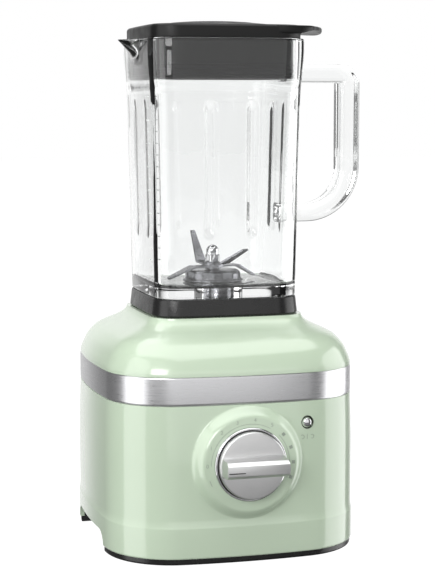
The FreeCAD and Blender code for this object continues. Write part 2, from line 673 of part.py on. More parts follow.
def winding_end(start, end):
    """Rounded bundle of wire ends beside the core."""
    bundle = tube(7.0, ARMATURE_R - 2.0, start, end)
    rounded = [edge for edge in bundle.Edges if edge.Length > 2 * math.pi * 15.0]
    return bundle.makeFillet(min(3.0, (end - start) * 0.4), rounded)


def cooling_fan():
    plate_z = FAN_Z + 6.5
    hub = tube(SHAFT_R, SHAFT_R + 4.0, FAN_Z, plate_z + 1.5)
    plate = tube(SHAFT_R + 2.0, FAN_R, plate_z, plate_z + 1.5)
    blade = box((-0.8, SHAFT_R + 3.0, FAN_Z), (0.8, FAN_R - 1.0, plate_z + 0.5))
    blade.rotate(V(0, SHAFT_R + 3.0, 0), Z_AXIS, 18)
    blades = []
    for number in range(11):
        turned = blade.copy()
        turned.rotate(V(0, 0, 0), Z_AXIS, number * 360 / 11)
        blades.append(turned)
    return joined(hub, plate, *blades)


def coupling_star(bottom, top, play=0.0):
    """Toothed star of the drive coupling, or its socket when play is added."""
    hub = rod(COUPLER_R - 3.7 + play, bottom, top)
    half = COUPLER_TOOTH / 2 + play
    teeth = []
    for number in range(COUPLER_TEETH):
        tooth = box((0, -half, bottom), (COUPLER_R + play, half, top))
        tooth.rotate(V(0, 0, 0), Z_AXIS, number * 360 / COUPLER_TEETH)
        teeth.append(tooth)
    return joined(hub, *teeth)


def save_rotor():
    shaft_top = STAR_TOP - 3.0
    save("motor_shaft", rod(SHAFT_R, FAN_Z - 1.5, shaft_top))
    save("armature_core", armature_core())
    save("armature_windings", winding_end(STACK_Z - 7.5, STACK_Z), winding_end(STACK_TOP, STACK_TOP + 8.0))
    bars = tube(SHAFT_R, COMMUTATOR_R, COMMUTATOR_Z, COMMUTATOR_Z + COMMUTATOR_LENGTH)
    save("commutator", bars)
    save("cooling_fan", cooling_fan())
    hub = rod(SHAFT_R + 5.0, NECK_Z - 3.0, STAR_Z)
    star = joined(coupling_star(STAR_Z, STAR_TOP), hub)
    save("drive_coupler", star.cut(rod(SHAFT_R, NECK_Z - 4.0, shaft_top)))


# ---- Controls ---------------------------------------------------------------------------

DIAL_AT = V(0, 0, DIAL_Z)


def dial_knob():
    """Round knob with a grip bar right across it, bevelled along its upper and lower edges."""
    disc = rod(KNOB_R, KNOB_FACE, KNOB_BACK, Y_AXIS, DIAL_AT)
    rim = [edge for edge in disc.Edges if abs(edge.BoundBox.YMax - KNOB_FACE) < 0.01]
    disc = disc.makeFillet(0.8, rim)
    half, front, root = GRIP_HEIGHT / 2, KNOB_FACE - GRIP_DEPTH, KNOB_FACE + 1.0
    bevel = 3.0
    points = [V(-KNOB_R, root, -half - 2), V(-KNOB_R, KNOB_FACE, -half - 2), V(-KNOB_R, KNOB_FACE - 3, -half),
              V(-KNOB_R, front + bevel, -half + 0.5), V(-KNOB_R, front, -half + bevel),
              V(-KNOB_R, front, half - bevel), V(-KNOB_R, front + bevel, half - 0.5),
              V(-KNOB_R, KNOB_FACE - 3, half), V(-KNOB_R, KNOB_FACE, half + 2), V(-KNOB_R, root, half + 2)]
    bar = polygon_prism([point + DIAL_AT for point in points], X_AXIS * 2 * KNOB_R)
    bar = bar.common(rod(KNOB_R - 0.6, front - 1, KNOB_BACK, Y_AXIS, DIAL_AT))
    pointer_slot = box((-KNOB_R, front - 1, DIAL_Z - 0.6), (-KNOB_R + 16, front + 0.5, DIAL_Z + 0.6))
    body = joined(disc, bar)
    return body.cut([pointer_slot, rod(DIAL_SHAFT_R, KNOB_FACE + 2.0, KNOB_BACK + 1, Y_AXIS, DIAL_AT)])


def dial_pointer():
    front = KNOB_FACE - GRIP_DEPTH
    strip = box((-KNOB_R + 1.6, front + 0.15, DIAL_Z - 0.6), (-KNOB_R + 16, front + 0.5, DIAL_Z + 0.6))
    return strip


def encoder():
    body = box((-ENCODER_HALF, ENCODER_FACE, DIAL_Z - ENCODER_HALF),
               (ENCODER_HALF, BOARD_Y, DIAL_Z + ENCODER_HALF))
    return body.cut(rod(DIAL_SHAFT_R + RUNNING_FIT, ENCODER_FACE - 1, BOARD_Y - 3.0, Y_AXIS, DIAL_AT))


def start_button():
    """Button cap with a shoulder that the ring holds in."""
    at = V(BUTTON_X, 0, BUTTON_Z)
    cap = rod(BUTTON_R, BUTTON_FACE_Y - 0.8, SHOULDER_Y + 1.0, Y_AXIS, at)
    front = [edge for edge in cap.Edges if abs(edge.BoundBox.YMax - (BUTTON_FACE_Y - 0.8)) < 0.01]
    cap = cap.makeFillet(0.7, front)
    shoulder = rod(BUTTON_SLEEVE_R - 0.2, SHOULDER_Y, SHOULDER_Y + 1.0, Y_AXIS, at)
    return joined(cap, shoulder)


SLEEVE_END_Y = BUTTON_SEAT_Y + 1.6
SHOULDER_Y = SLEEVE_END_Y + BODY_GAP


def button_spring():
    """Open coil between the button's shoulder and the switch."""
    start = SHOULDER_Y + 1.0
    wire = 0.5
    length = SWITCH_Y - start - wire
    radius = PLUNGER_R + 1.0
    helix = Part.makeHelix(length / 4, length, radius)
    circle = Part.Wire(Part.makeCircle(wire / 2, V(radius, 0, 0), Y_AXIS))
    coil = Part.Wire(helix).makePipeShell([circle], True, True)
    coil.rotate(V(0, 0, 0), X_AXIS, -90)
    coil.translate(V(BUTTON_X, start + wire / 2, BUTTON_Z))
    return coil


def board_components():
    """Parts on the back of the board: capacitor, relay, heat sink and connector."""
    back = BOARD_Y + BOARD_THICK
    capacitor = rod(6.5, back, back + 22.0, Y_AXIS, V(-28, 0, 98))
    relay = box((-14, back, 92), (6, back + 15.0, 108))
    sink = box((16, back, 88), (34, back + 12.0, 110))
    fins = [box((18 + 5 * n, back + 3.0, 87), (20 + 5 * n, back + 13.0, 111)) for n in range(3)]
    connector = box((20, back, 66), (44, back + 9.0, 76))
    return [capacitor, relay, sink.cut(fins), connector]


def save_controls():
    button_at = V(BUTTON_X, 0, BUTTON_Z)
    board = box((BOARD_LOW[0], BOARD_Y, BOARD_LOW[1]), (BOARD_HIGH[0], BOARD_Y + BOARD_THICK, BOARD_HIGH[1]))
    holes = [rod(BOARD_SCREW_R + FIT, BOARD_Y - 1, BOARD_Y + 4, Y_AXIS, place)
             for place in board_screw_places()]
    save("control_board", board.cut(holes))
    save("board_components", *board_components())
    save("board_screws", *[screw(place, BOARD_Y + BOARD_THICK, 8.0, False, Y_AXIS, BOARD_SCREW_R, 2.5, 1.6)
                           for place in board_screw_places()])
    save("dial_encoder", encoder())
    switch = box((BUTTON_X - 5, SWITCH_Y, BUTTON_Z - 5), (BUTTON_X + 5, BOARD_Y, BUTTON_Z + 5))
    save("start_switch", switch)
    ring_inner = KNOB_R + 0.7
    save("dial_bezel", tube(ring_inner, ring_inner + BEZEL_WIDTH, BOSS_Y - 2.4, BOSS_Y, Y_AXIS, DIAL_AT))
    ring = joined(tube(BUTTON_R + BODY_GAP, BUTTON_RING_R, BUTTON_FACE_Y, BUTTON_SEAT_Y, Y_AXIS, button_at),
                  tube(BUTTON_R + BODY_GAP, BUTTON_SLEEVE_R, BUTTON_FACE_Y, SLEEVE_END_Y, Y_AXIS, button_at))
    save("button_bezel", ring)
    save("dial_knob", dial_knob())
    save("dial_pointer", dial_pointer())
    save("dial_shaft", rod(DIAL_SHAFT_R, KNOB_FACE + 2.0, BOARD_Y - 4.0, Y_AXIS, DIAL_AT))
    save("start_button", start_button())
    plunger_end = SWITCH_Y - BUTTON_TRAVEL - BODY_GAP
    save("button_plunger", rod(PLUNGER_R, SHOULDER_Y + 1.0, plunger_end, Y_AXIS, button_at))
    save("button_spring", button_spring())


# ---- Jar --------------------------------------------------------------------------------

def jar_outside():
    """Tapered body, a step, and the wider part that takes the lid."""
    body = skin([square_outline(JAR_HALF_BOTTOM, JAR_CORNER, GLASS_Z),
                 square_outline(JAR_HALF_TOP, JAR_CORNER + 1.0, STEP_Z - 2.0)], True)
    step = skin([square_outline(JAR_HALF_TOP, JAR_CORNER + 1.0, STEP_Z - 2.0),
                 square_outline(RIM_HALF, JAR_CORNER + 2.0, STEP_Z + 1.0)], True)
    upper = slab(square_outline(RIM_HALF, JAR_CORNER + 2.0, STEP_Z + 1.0), RIM_Z - STEP_Z - 1.0)
    return joined(body, step, upper)


def jar_inside():
    body = skin([square_outline(JAR_HALF_BOTTOM - JAR_WALL, JAR_CORNER - JAR_WALL + 3.0, FLOOR_Z),
                 square_outline(JAR_HALF_TOP - JAR_WALL, JAR_CORNER - JAR_WALL + 3.0, STEP_Z)], True)
    upper = slab(square_outline(RIM_HALF - JAR_WALL, JAR_CORNER - JAR_WALL + 3.0, STEP_Z), RIM_HEIGHT + 1.0)
    return joined(body, upper)


def spout_form(reach, half, drop):
    """Pouring spout on the -X side: a wedge that widens upwards from the wall."""
    wall = RIM_HALF - JAR_WALL / 2

    def section(out, width, z):
        left, right = V(-wall, -width, z), V(-wall, width, z)
        return Part.Wire([Part.Arc(left, V(-wall - out, 0, z), right).toShape(), Part.makeLine(right, left)])

    foot = section(JAR_WALL / 2 - 1.0, half * 0.5, RIM_Z - drop)
    return Part.makeLoft([foot, section(reach, half, RIM_Z)], True, True)


def inner_ribs():
    """Two blunt ribs up each inside wall, leaning with the wall."""
    low_z, high_z = FLOOR_Z + 40.0, STEP_Z - 10.0
    lean = (JAR_HALF_TOP - JAR_HALF_BOTTOM) / (STEP_Z - FLOOR_Z)
    wall = JAR_HALF_BOTTOM - JAR_WALL + RIB_R * 0.45
    ribs = []
    for side in (-16.0, 16.0):
        low = V(wall + lean * (low_z - FLOOR_Z), side, low_z)
        high = V(wall + lean * (high_z - FLOOR_Z), side, high_z)
        rib = joined(Part.makeCylinder(RIB_R, (high - low).Length, low, high - low),
                     Part.makeSphere(RIB_R, low), Part.makeSphere(RIB_R, high))
        for quarter in range(4):
            turned = rib.copy()
            turned.rotate(V(0, 0, 0), Z_AXIS, quarter * 90)
            ribs.append(turned)
    return ribs


def jar_glass():
    outside = joined(jar_outside(), spout_form(SPOUT_REACH + JAR_WALL / 2, SPOUT_HALF, SPOUT_DROP))
    channel = spout_form(SPOUT_REACH + JAR_WALL / 2 - SPOUT_WALL, SPOUT_HALF - SPOUT_WALL, SPOUT_DROP - 6.0)
    throat = box((-RIM_HALF + 1.0 - JAR_WALL, -SPOUT_HALF * 0.5, RIM_Z - SPOUT_DROP * 0.5),
                 (-RIM_HALF + JAR_WALL / 2 + 1.0, SPOUT_HALF * 0.5, RIM_Z + 1.0))
    glass = outside.cut([jar_inside(), channel, throat, rod(HOUSING_R + FIT, GLASS_Z - 1, FLOOR_Z + 1)])
    ribs = [rib.common(jar_outside()) for rib in inner_ribs()]
    return joined(glass, *ribs)


def handle_path():
    """Top bar out from the rim, a tight bend, the grip, and a wide bend back to the wall."""
    start = V(JAR_HALF_BOTTOM - 4.0, 0, HANDLE_Z)
    low_z = HANDLE_Z - HANDLE_SPAN
    bend, sweep = HANDLE_TOP_BEND, HANDLE_LOW_BEND
    half = math.sqrt(0.5)
    a = V(HANDLE_REACH - bend, 0, HANDLE_Z)
    a_mid = a + V(bend * half, 0, -bend * (1 - half))
    b = V(HANDLE_REACH, 0, HANDLE_Z - bend)
    c = V(HANDLE_REACH, 0, low_z + sweep)
    c_mid = V(HANDLE_REACH - sweep * (1 - half), 0, low_z + sweep * (1 - half))
    d = V(HANDLE_REACH - sweep, 0, low_z)
    end = V(start.x, 0, low_z)
    return Part.Wire([Part.makeLine(start, a), Part.Arc(a, a_mid, b).toShape(), Part.makeLine(b, c),
                      Part.Arc(c, c_mid, d).toShape(), Part.makeLine(d, end)])


def jar_handle():
    half_y, half_z, corner = HANDLE_WIDTH / 2, HANDLE_THICK / 2, 6.0
    x = JAR_HALF_BOTTOM - 4.0
    plane = box((x - 1, -half_y, HANDLE_Z - half_z), (x, half_y, HANDLE_Z + half_z))
    along = [edge for edge in plane.Edges if abs(edge.BoundBox.XLength - 1) < 0.01]
    rounded = plane.makeFillet(corner, along)
    face = max(rounded.Faces, key=lambda f: f.CenterOfMass.x)
    sweep = handle_path().makePipeShell([face.OuterWire], True, False)
    return sweep.cut(jar_outside())


def jar_collar():
    """Black collar under the jar: an open pocket that drops over the seat, and a web for the blade unit."""
    corner = NECK_CORNER
    outside = skin([square_outline(COLLAR_HALF_BOTTOM, corner, COLLAR_Z),
                    square_outline(COLLAR_HALF_TOP, corner - 1.0, GLASS_Z)], True)
    pocket_half = SEAT_HALF + SEAT_PLAY
    pocket = slab(square_outline(pocket_half, corner - NECK_HALF + pocket_half + 4.0, COLLAR_Z),
                  SEAT_TOP + SEAT_PLAY - COLLAR_Z)
    return outside.cut([pocket, rod(NUT_R + 1.5, COLLAR_Z, WEB_Z),
                        rod(HOUSING_R + FIT, COLLAR_Z, GLASS_Z + 1)])


def blade_housing():
    """Threaded sleeve through the jar floor, with a flange and a fluted hub above it."""
    sleeve = rod(HOUSING_R, NUT_Z - 0.6, GASKET_TOP)
    flange = rod(HUB_FLANGE_R, GASKET_TOP, FLANGE_TOP)
    hub = rod(HUB_R, FLANGE_TOP - 0.5, HUB_TOP)
    body = joined(sleeve, flange, hub)
    cuts = [rod(COUPLER_CAVITY_R, NUT_Z - 1, SPINDLE_PLATE_Z + BODY_GAP),
            rod(BUSH_R, SPINDLE_PLATE_Z + 1.3, HUB_TOP - HOUSING_LID),
            rod(BLADE_SHAFT_R + 0.6, NUT_Z - 1, HUB_TOP + 1)]
    flat = box((HUB_R - 1.6, -4.5, FLANGE_TOP), (HUB_R + 2, 4.5, HUB_TOP - 1.5))
    for number in range(8):
        turned = flat.copy()
        turned.rotate(V(0, 0, 0), Z_AXIS, number * 45 + 20)
        cuts.append(turned)
    return body.cut(cuts)


def retaining_nut():
    """Ring nut with finger notches that draws the collar and the jar together."""
    ring = tube(HOUSING_R, NUT_R, NUT_Z, WEB_Z)
    notches = []
    for number in range(8):
        notch = rod(3.0, NUT_Z - 1, WEB_Z - 1.5, at=V(NUT_R + 1.0, 0, 0))
        notch.rotate(V(0, 0, 0), Z_AXIS, number * 45)
        notches.append(notch)
    return ring.cut(notches)


def jar_coupler():
    """Socket under the blade shaft that drops over the drive star."""
    bottom = STAR_Z + BODY_GAP
    socket_top = STAR_TOP + COUPLER_PLAY
    body = rod(COUPLER_CAVITY_R - 0.8, bottom, SPINDLE_PLATE_Z - BODY_GAP)
    body = body.cut([coupling_star(bottom - 1, socket_top, COUPLER_PLAY)])
    return body.cut(rod(BLADE_SHAFT_R, socket_top - 1, SPINDLE_PLATE_Z + 1))


def save_jar():
    save("jar_glass", jar_glass())
    save("jar_handle", jar_handle())
    save("jar_collar", jar_collar())
    save("blade_housing", blade_housing())
    save("retaining_nut", retaining_nut())
    save("jar_gasket", tube(HOUSING_R + FIT, HOUSING_R + 3.6, FLOOR_Z, GASKET_TOP))
    bush_low = SPINDLE_PLATE_Z + 1.3
    bush_inner = BLADE_SHAFT_R + RUNNING_FIT
    save("blade_bearings", tube(bush_inner, BUSH_R, bush_low, bush_low + 6.0),
         tube(bush_inner, BUSH_R, SEAL_Z - 6.0, SEAL_Z))
    save("shaft_seal", tube(bush_inner, BUSH_R, SEAL_Z, HUB_TOP - HOUSING_LID))


# ---- Blades -----------------------------------------------------------------------------


def blade_arm(bearing_deg, run, bend_rise, reach, tip_rise, root_width, tip_width, z):
    """Flat arm from the hub to run, then bent to end at reach and tip_rise above the hub."""
    thick = BLADE_THICK
    slope = math.atan2(tip_rise - bend_rise, reach - run)
    lift = V(-math.sin(slope) * thick, 0, math.cos(slope) * thick)
    bend = V(run, 0, z + bend_rise)
    tip = V(reach, 0, z + tip_rise)
    inner = V(BLADE_SHAFT_R + 2.0, 0, z)
    side = V(0, root_width, 0)
    points = [inner, bend, tip, tip + lift, bend + V(lift.x * 0.5, 0, thick), inner + V(0, 0, thick)]
    strip = polygon_prism([point - side * 0.5 for point in points], side)
    half_root, half_tip = root_width / 2, tip_width / 2
    if reach - run > abs(tip_rise - bend_rise):
        outline = [V(0, -half_root, z - 40), V(run, -half_root, z - 40), V(reach + 2, -half_tip, z - 40),
                   V(reach + 2, half_tip, z - 40), V(run, half_root, z - 40), V(0, half_root, z - 40)]
        planform = polygon_prism(outline, Z_AXIS * 80)
    else:
        outline = [V(0, -half_root, z - 5), V(0, -half_root, z + bend_rise + thick),
                   V(0, -half_tip, z + tip_rise), V(0, half_tip, z + tip_rise),
                   V(0, half_root, z + bend_rise + thick), V(0, half_root, z - 5)]
        planform = polygon_prism(outline, X_AXIS * (reach + 5))
    arm = strip.common(planform)
    arm.rotate(V(0, 0, 0), Z_AXIS, bearing_deg)
    return arm


def blade(arms, z):
    hub = rod(BLADE_HUB_R, z, z + BLADE_THICK)
    bore = rod(BLADE_SHAFT_R, z - 1, z + BLADE_THICK + 1)
    keep_out = rod(BLADE_HUB_R - 1.0, z + BLADE_THICK, z + 40)
    keep_under = rod(BLADE_HUB_R - 1.0, z - 40, z)
    return joined(hub, *[arm.cut([keep_out, keep_under]) for arm in arms]).cut(bore)


def acorn_nut(bottom):
    """Hexagon with a domed cap."""
    corner = ACORN_FLATS / math.sqrt(3)
    points = [V(corner * math.cos(math.radians(60 * n)), corner * math.sin(math.radians(60 * n)), bottom)
              for n in range(6)]
    hexagon = polygon_prism(points, Z_AXIS * 6.5)
    radius = ACORN_FLATS / 2 - 0.4
    dome = joined(rod(radius, bottom + 6.0, bottom + 9.0), Part.makeSphere(radius, V(0, 0, bottom + 9.0)))
    return joined(hexagon, dome).cut(rod(BLADE_SHAFT_R, bottom - 1, bottom + 6.0))


def save_blades():
    upper_z = BLADE_Z + BLADE_THICK
    washer_top = upper_z + BLADE_THICK + 1.0
    save("blade_lower", blade([blade_arm(194, 18, 0.0, 43, -8.4, 12.0, 6.0, BLADE_Z),
                               blade_arm(14, 22, 0.0, 38, -9.0, 11.0, 5.0, BLADE_Z)], BLADE_Z))
    save("blade_upper", blade([blade_arm(120, 14, 1.5, 24, 27.0, 10.5, 4.0, upper_z),
                               blade_arm(-60, 14, 2.0, 37, 14.0, 11.0, 5.5, upper_z)], upper_z))
    save("blade_shaft", rod(BLADE_SHAFT_R, STAR_TOP + COUPLER_PLAY, washer_top + 6.0))
    save("blade_washers", tube(BLADE_SHAFT_R, 6.5, HUB_TOP + 2 * BODY_GAP, BLADE_Z),
         tube(BLADE_SHAFT_R, 6.5, upper_z + BLADE_THICK, washer_top))
    save("acorn_nut", acorn_nut(washer_top))
    save("jar_coupler", jar_coupler())


# ---- Lid and cap ------------------------------------------------------------------------


def thumb_lip():
    """Lip that swells out of the lid's side to a rounded tip, scooped underneath."""
    corner = LID_HALF - LID_CORNER
    under = LID_TOP - TAB_THICK - 0.5
    edge = [(corner + out * (TAB_REACH - corner), along * LID_HALF) for out, along in TAB_EDGE]
    points = [V(x, -y, under) for x, y in edge] + [V(TAB_REACH, 0, under)] + [V(x, y, under) for x, y in edge[::-1]]
    curve = Part.BSplineCurve()
    curve.interpolate(points)
    outline = Part.Wire([curve.toShape(), Part.makeLine(points[-1], points[0])])
    plate = Part.Face(outline).extrude(V(0, 0, TAB_THICK))
    scoop = rod(LID_WALL * 20, -LID_HALF, LID_HALF, Y_AXIS,
                V(LID_HALF + 14.0, 0, under + TAB_HOLLOW - LID_WALL * 20))
    return plate.cut(scoop)


def lid_cover():
    """Lid with a skirt, a shallow crown, a plug, a tube for the cap and a thumb lip."""
    top = slab(square_outline(LID_HALF, LID_CORNER, LID_Z), LID_HEIGHT)
    top_edges = [edge for edge in top.Edges if edge.BoundBox.ZMin > LID_TOP - 0.01]
    top = top.makeFillet(1.5, top_edges)
    crown = Part.makeCone(CROWN_R, CAP_FLANGE_R + BODY_GAP, CROWN_RISE, V(0, 0, LID_TOP - 0.01))
    crown = crown.cut(rod(CAP_FLANGE_R + BODY_GAP, LID_TOP, LID_TOP + CROWN_RISE + 1))
    room = slab(square_outline(LID_HALF - LID_WALL, LID_CORNER - LID_WALL, LID_Z), LID_HEIGHT - LID_WALL)
    plug = slab(square_outline(PLUG_HALF, PLUG_CORNER, PLUG_Z), LID_TOP - LID_WALL - PLUG_Z + 0.5)
    plug = plug.cut(slab(square_outline(PLUG_HALF - LID_WALL, PLUG_CORNER - LID_WALL, PLUG_Z),
                         LID_TOP - LID_WALL - PLUG_Z + 1))
    sleeve = rod(TUBE_R + LID_WALL, LID_TOP - CAP_DEPTH, LID_TOP - 1.0)
    body = joined(joined(top, crown, thumb_lip()).cut(room), plug, sleeve)
    return body.cut(rod(TUBE_R, LID_TOP - CAP_DEPTH - 1, LID_TOP + 1))


def lid_seal():
    """Soft sleeve round the plug with three ribs near its lower end."""
    outer = PLUG_HALF + SEAL_THICK
    sleeve = slab(square_outline(outer, PLUG_CORNER + SEAL_THICK, PLUG_Z), PLUG_DEPTH - 2.0)
    ribs = [slab(square_outline(outer + 0.6, PLUG_CORNER + SEAL_THICK + 0.6, PLUG_Z + 2.0 + 4.0 * n), 1.6)
            for n in range(3)]
    body = joined(sleeve, *ribs)
    return body.cut(slab(square_outline(PLUG_HALF, PLUG_CORNER, PLUG_Z), PLUG_DEPTH))


def measuring_cap():
    """Cup, mouth down in the lid, whose closed end is the domed centre of the lid."""
    top = LID_TOP + CAP_RISE
    flange_z = LID_TOP + BODY_GAP
    cup = rod(CAP_R, LID_TOP - CAP_DEPTH, top - 1.0)
    flange = rod(CAP_FLANGE_R, flange_z, top)
    rim = [edge for edge in flange.Edges if edge.BoundBox.ZMin > top - 0.01]
    flange = flange.makeFillet(1.5, rim)
    return joined(cup, flange).cut(rod(CAP_R - CAP_WALL, LID_TOP - CAP_DEPTH - 1, top - CAP_WALL))


def save_lid():
    save("lid_cover", lid_cover())
    save("lid_seal", lid_seal())
    save("measuring_cap", measuring_cap())


os.makedirs("parts", exist_ok=True)
save_base()
save_motor()
save_rotor()
save_controls()
save_jar()
save_blades()
save_lid()
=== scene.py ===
import json
import math

import bmesh
import bpy
from bpy.props import FloatProperty, FloatVectorProperty, IntProperty, PointerProperty
from mathutils import Matrix, Vector


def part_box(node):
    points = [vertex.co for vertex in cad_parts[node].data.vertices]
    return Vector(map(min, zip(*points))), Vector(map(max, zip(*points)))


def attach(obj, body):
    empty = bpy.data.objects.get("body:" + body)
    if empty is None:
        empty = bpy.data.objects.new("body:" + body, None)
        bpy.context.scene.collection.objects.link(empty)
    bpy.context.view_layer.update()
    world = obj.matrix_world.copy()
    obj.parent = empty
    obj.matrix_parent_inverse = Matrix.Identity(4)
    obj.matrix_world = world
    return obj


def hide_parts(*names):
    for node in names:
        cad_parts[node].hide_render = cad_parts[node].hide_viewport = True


bl_info = {
    "name": "Countertop Blender",
    "version": (1, 0, 0),
    "blender": (4, 5, 0),
    "location": "3D View > Sidebar > Countertop Blender",
    "description": "Builds the visible pieces of a countertop blender round its packed frame",
    "category": "Add Mesh",
}

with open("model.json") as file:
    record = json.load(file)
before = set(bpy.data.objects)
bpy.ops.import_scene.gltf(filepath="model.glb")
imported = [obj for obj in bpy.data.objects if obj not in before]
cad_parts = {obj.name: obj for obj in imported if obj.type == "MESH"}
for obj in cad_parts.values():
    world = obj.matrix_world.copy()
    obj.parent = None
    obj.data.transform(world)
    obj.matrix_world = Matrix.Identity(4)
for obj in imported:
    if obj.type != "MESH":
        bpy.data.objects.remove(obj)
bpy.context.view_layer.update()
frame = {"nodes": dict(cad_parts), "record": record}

MM = 0.001
CORNER_STEPS = 18       # segments in a rounded corner of a plan outline
SIDE_STEPS = 56         # segments along a side of a plan outline
HALF_SIDE = SIDE_STEPS // 2


# ---- Colours and sizes ------------------------------------------------------------------

def linear(hex_colour):
    """sRGB hex, such as "#B9CDB2", as linear red, green and blue."""
    channels = [int(hex_colour[i:i + 2], 16) / 255 for i in (1, 3, 5)]
    return tuple(c / 12.92 if c <= 0.04045 else ((c + 0.055) / 1.055) ** 2.4 for c in channels)


def edges_mm(node):
    """Lowest and highest corner of a CAD node, in millimetres."""
    low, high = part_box(node)
    return low / MM, high / MM


LOW, HIGH = edges_mm("lower_housing")
BAND_LOW, BAND_HIGH = edges_mm("trim_band")
DOME_HIGH = edges_mm("upper_housing")[1]
PLATE_HIGH = edges_mm("foot_plate_front")[1]
REAR_PLATE_LOW = edges_mm("foot_plate_rear")[0]
COLLAR_LOW, COLLAR_HIGH = edges_mm("jar_collar")
GLASS_LOW, GLASS_HIGH = edges_mm("jar_glass")
HANDLE_LOW, HANDLE_HIGH = edges_mm("jar_handle")
HUB_LOW, HUB_HIGH = edges_mm("blade_housing")
GASKET_LOW, GASKET_HIGH = edges_mm("jar_gasket")
ACORN_LOW, ACORN_HIGH = edges_mm("acorn_nut")
LID_LOW, LID_HIGH = edges_mm("lid_cover")
SEAL_LOW, SEAL_HIGH = edges_mm("lid_seal")
CAP_LOW, CAP_HIGH = edges_mm("measuring_cap")
KNOB_LOW, KNOB_HIGH = edges_mm("dial_knob")
RING_LOW, RING_HIGH = edges_mm("dial_bezel")
BUTTON_LOW, BUTTON_HIGH = edges_mm("start_button")
BUTTON_RING_LOW, BUTTON_RING_HIGH = edges_mm("button_bezel")

DIAL_Z = (RING_LOW.z + RING_HIGH.z) / 2
DEPTH_MORE = BAND_HIGH.y - BAND_HIGH.x      # the base is this much deeper than wide, each way
SOFT_BOW = 900.0        # bow radius of the sides of the dome's top, the jar, the collar and the lid
JAR_LOW_HALF, JAR_TOP_HALF = 58.4, 62.0     # the jar's body at its foot and under its step
JAR_STEP_DROP = 38.5    # from the rim down to the step
COVE = 4.5              # round between the jar's wall and its floor
LID_CORNER = 20.5
LID_WALL = 2.8
LID_SKIRT_TOP = GLASS_HIGH.z + 0.3 + 10.3
CROWN_FOOT, CROWN_RISE = 56.0, 2.35         # radius and height of the crowned middle of the lid
SEAL_HALF, PLUG_CORNER = 54.2, 17.0
CAP_SEAT = LID_SKIRT_TOP + 0.3
# the lip's edge from the lid's corner to its tip, as shares of its reach and of the lid's half width
LIP_EDGE = ((-0.10, 0.985), (0.12, 0.995), (0.473, 0.935), (0.658, 0.748), (0.798, 0.569), (0.944, 0.293))
CAMERA_PLACE = (-0.3533, -1.3005, 0.3504)
CAMERA_WAY = (0.26369, 0.95794, -0.11321)


def colour(name, description, hex_colour):
    return FloatVectorProperty(name=name, description=description, subtype="COLOR",
                               default=linear(hex_colour), min=0.0, max=1.0)


def amount(name, description, default, low, high):
    return FloatProperty(name=name, description=description, default=default, min=low, max=high)


class BlenderFinishes(bpy.types.PropertyGroup):
    """Colours of the finishes."""
    enamel: colour("Enamel", "Colour of the two painted housings", "#B4C4AE")
    trim: colour("Trim band", "Colour of the brushed band's steel", "#D6D6D8")
    knob: colour("Dial", "Colour of the dial's satin metal", "#D9D9D9")
    black_plastic: colour("Collar", "Colour of the jar collar and foot plates", "#121212")
    lid: colour("Lid", "Colour of the lid and the measuring cap", "#0B0B0B")
    print_ink: colour("Print", "Colour of the dial's printed marks", "#8A9588")


class BlenderSizes(bpy.types.PropertyGroup):
    """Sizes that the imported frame's boxes don't give."""
    base_corner: amount("Base corner", "Plan radius of the base's corners, mm", 55.0, 20.0, 90.0)
    base_bow: amount("Base bow", "Radius of the base's bowed sides, mm", 500.0, 200.0, 3000.0)
    neck_half: amount("Neck", "Half width of the dome's flat top, mm", 62.9, 40.0, 90.0)
    neck_corner: amount("Neck corner", "Plan radius of the dome's top, mm", 22.0, 5.0, 60.0)
    boss_face: amount("Boss face", "Radius of the flat face behind the dial, mm", 36.6, 30.0, 45.0)
    boss_foot: amount("Boss foot", "Radius where the boss meets the wall, mm", 44.3, 35.0, 50.0)
    jar_corner: amount("Jar corner", "Plan radius of the jar's corners, mm", 19.0, 5.0, 40.0)
    jar_wall: amount("Jar wall", "Thickness of the glass, mm", 6.5, 3.0, 12.0)
    rib_rise: amount("Rib", "How far the inside ribs stand out, mm", 1.9, 0.0, 5.0)
    knob_grip: amount("Dial grip", "Height of the dial's grip bar, mm", 14.0, 6.0, 25.0)


class BlenderStudio(bpy.types.PropertyGroup):
    """Light, camera and the fineness of turned pieces."""
    left_side: amount("Left side", "Brightness of the room on the left, white being 1", 0.20, 0.0, 4.0)
    right_side: amount(
        "Right side", "Brightness of the room on the right, white being 1", 0.12, 0.0, 4.0)
    front_side: amount("Front", "Brightness added to the room in front, white being 1", 0.10, 0.0, 4.0)
    key: amount("Soft boxes", "Brightness of the soft boxes, white paper being 1", 3.6, 0.0, 40.0)
    lens: amount("Lens", "Focal length on a 36 mm frame", 101.84, 20.0, 400.0)
    spokes: IntProperty(
        name="Turned steps", description="Segments round a turned piece", default=96, min=24, max=256)


# ---- Mesh helpers -----------------------------------------------------------------------

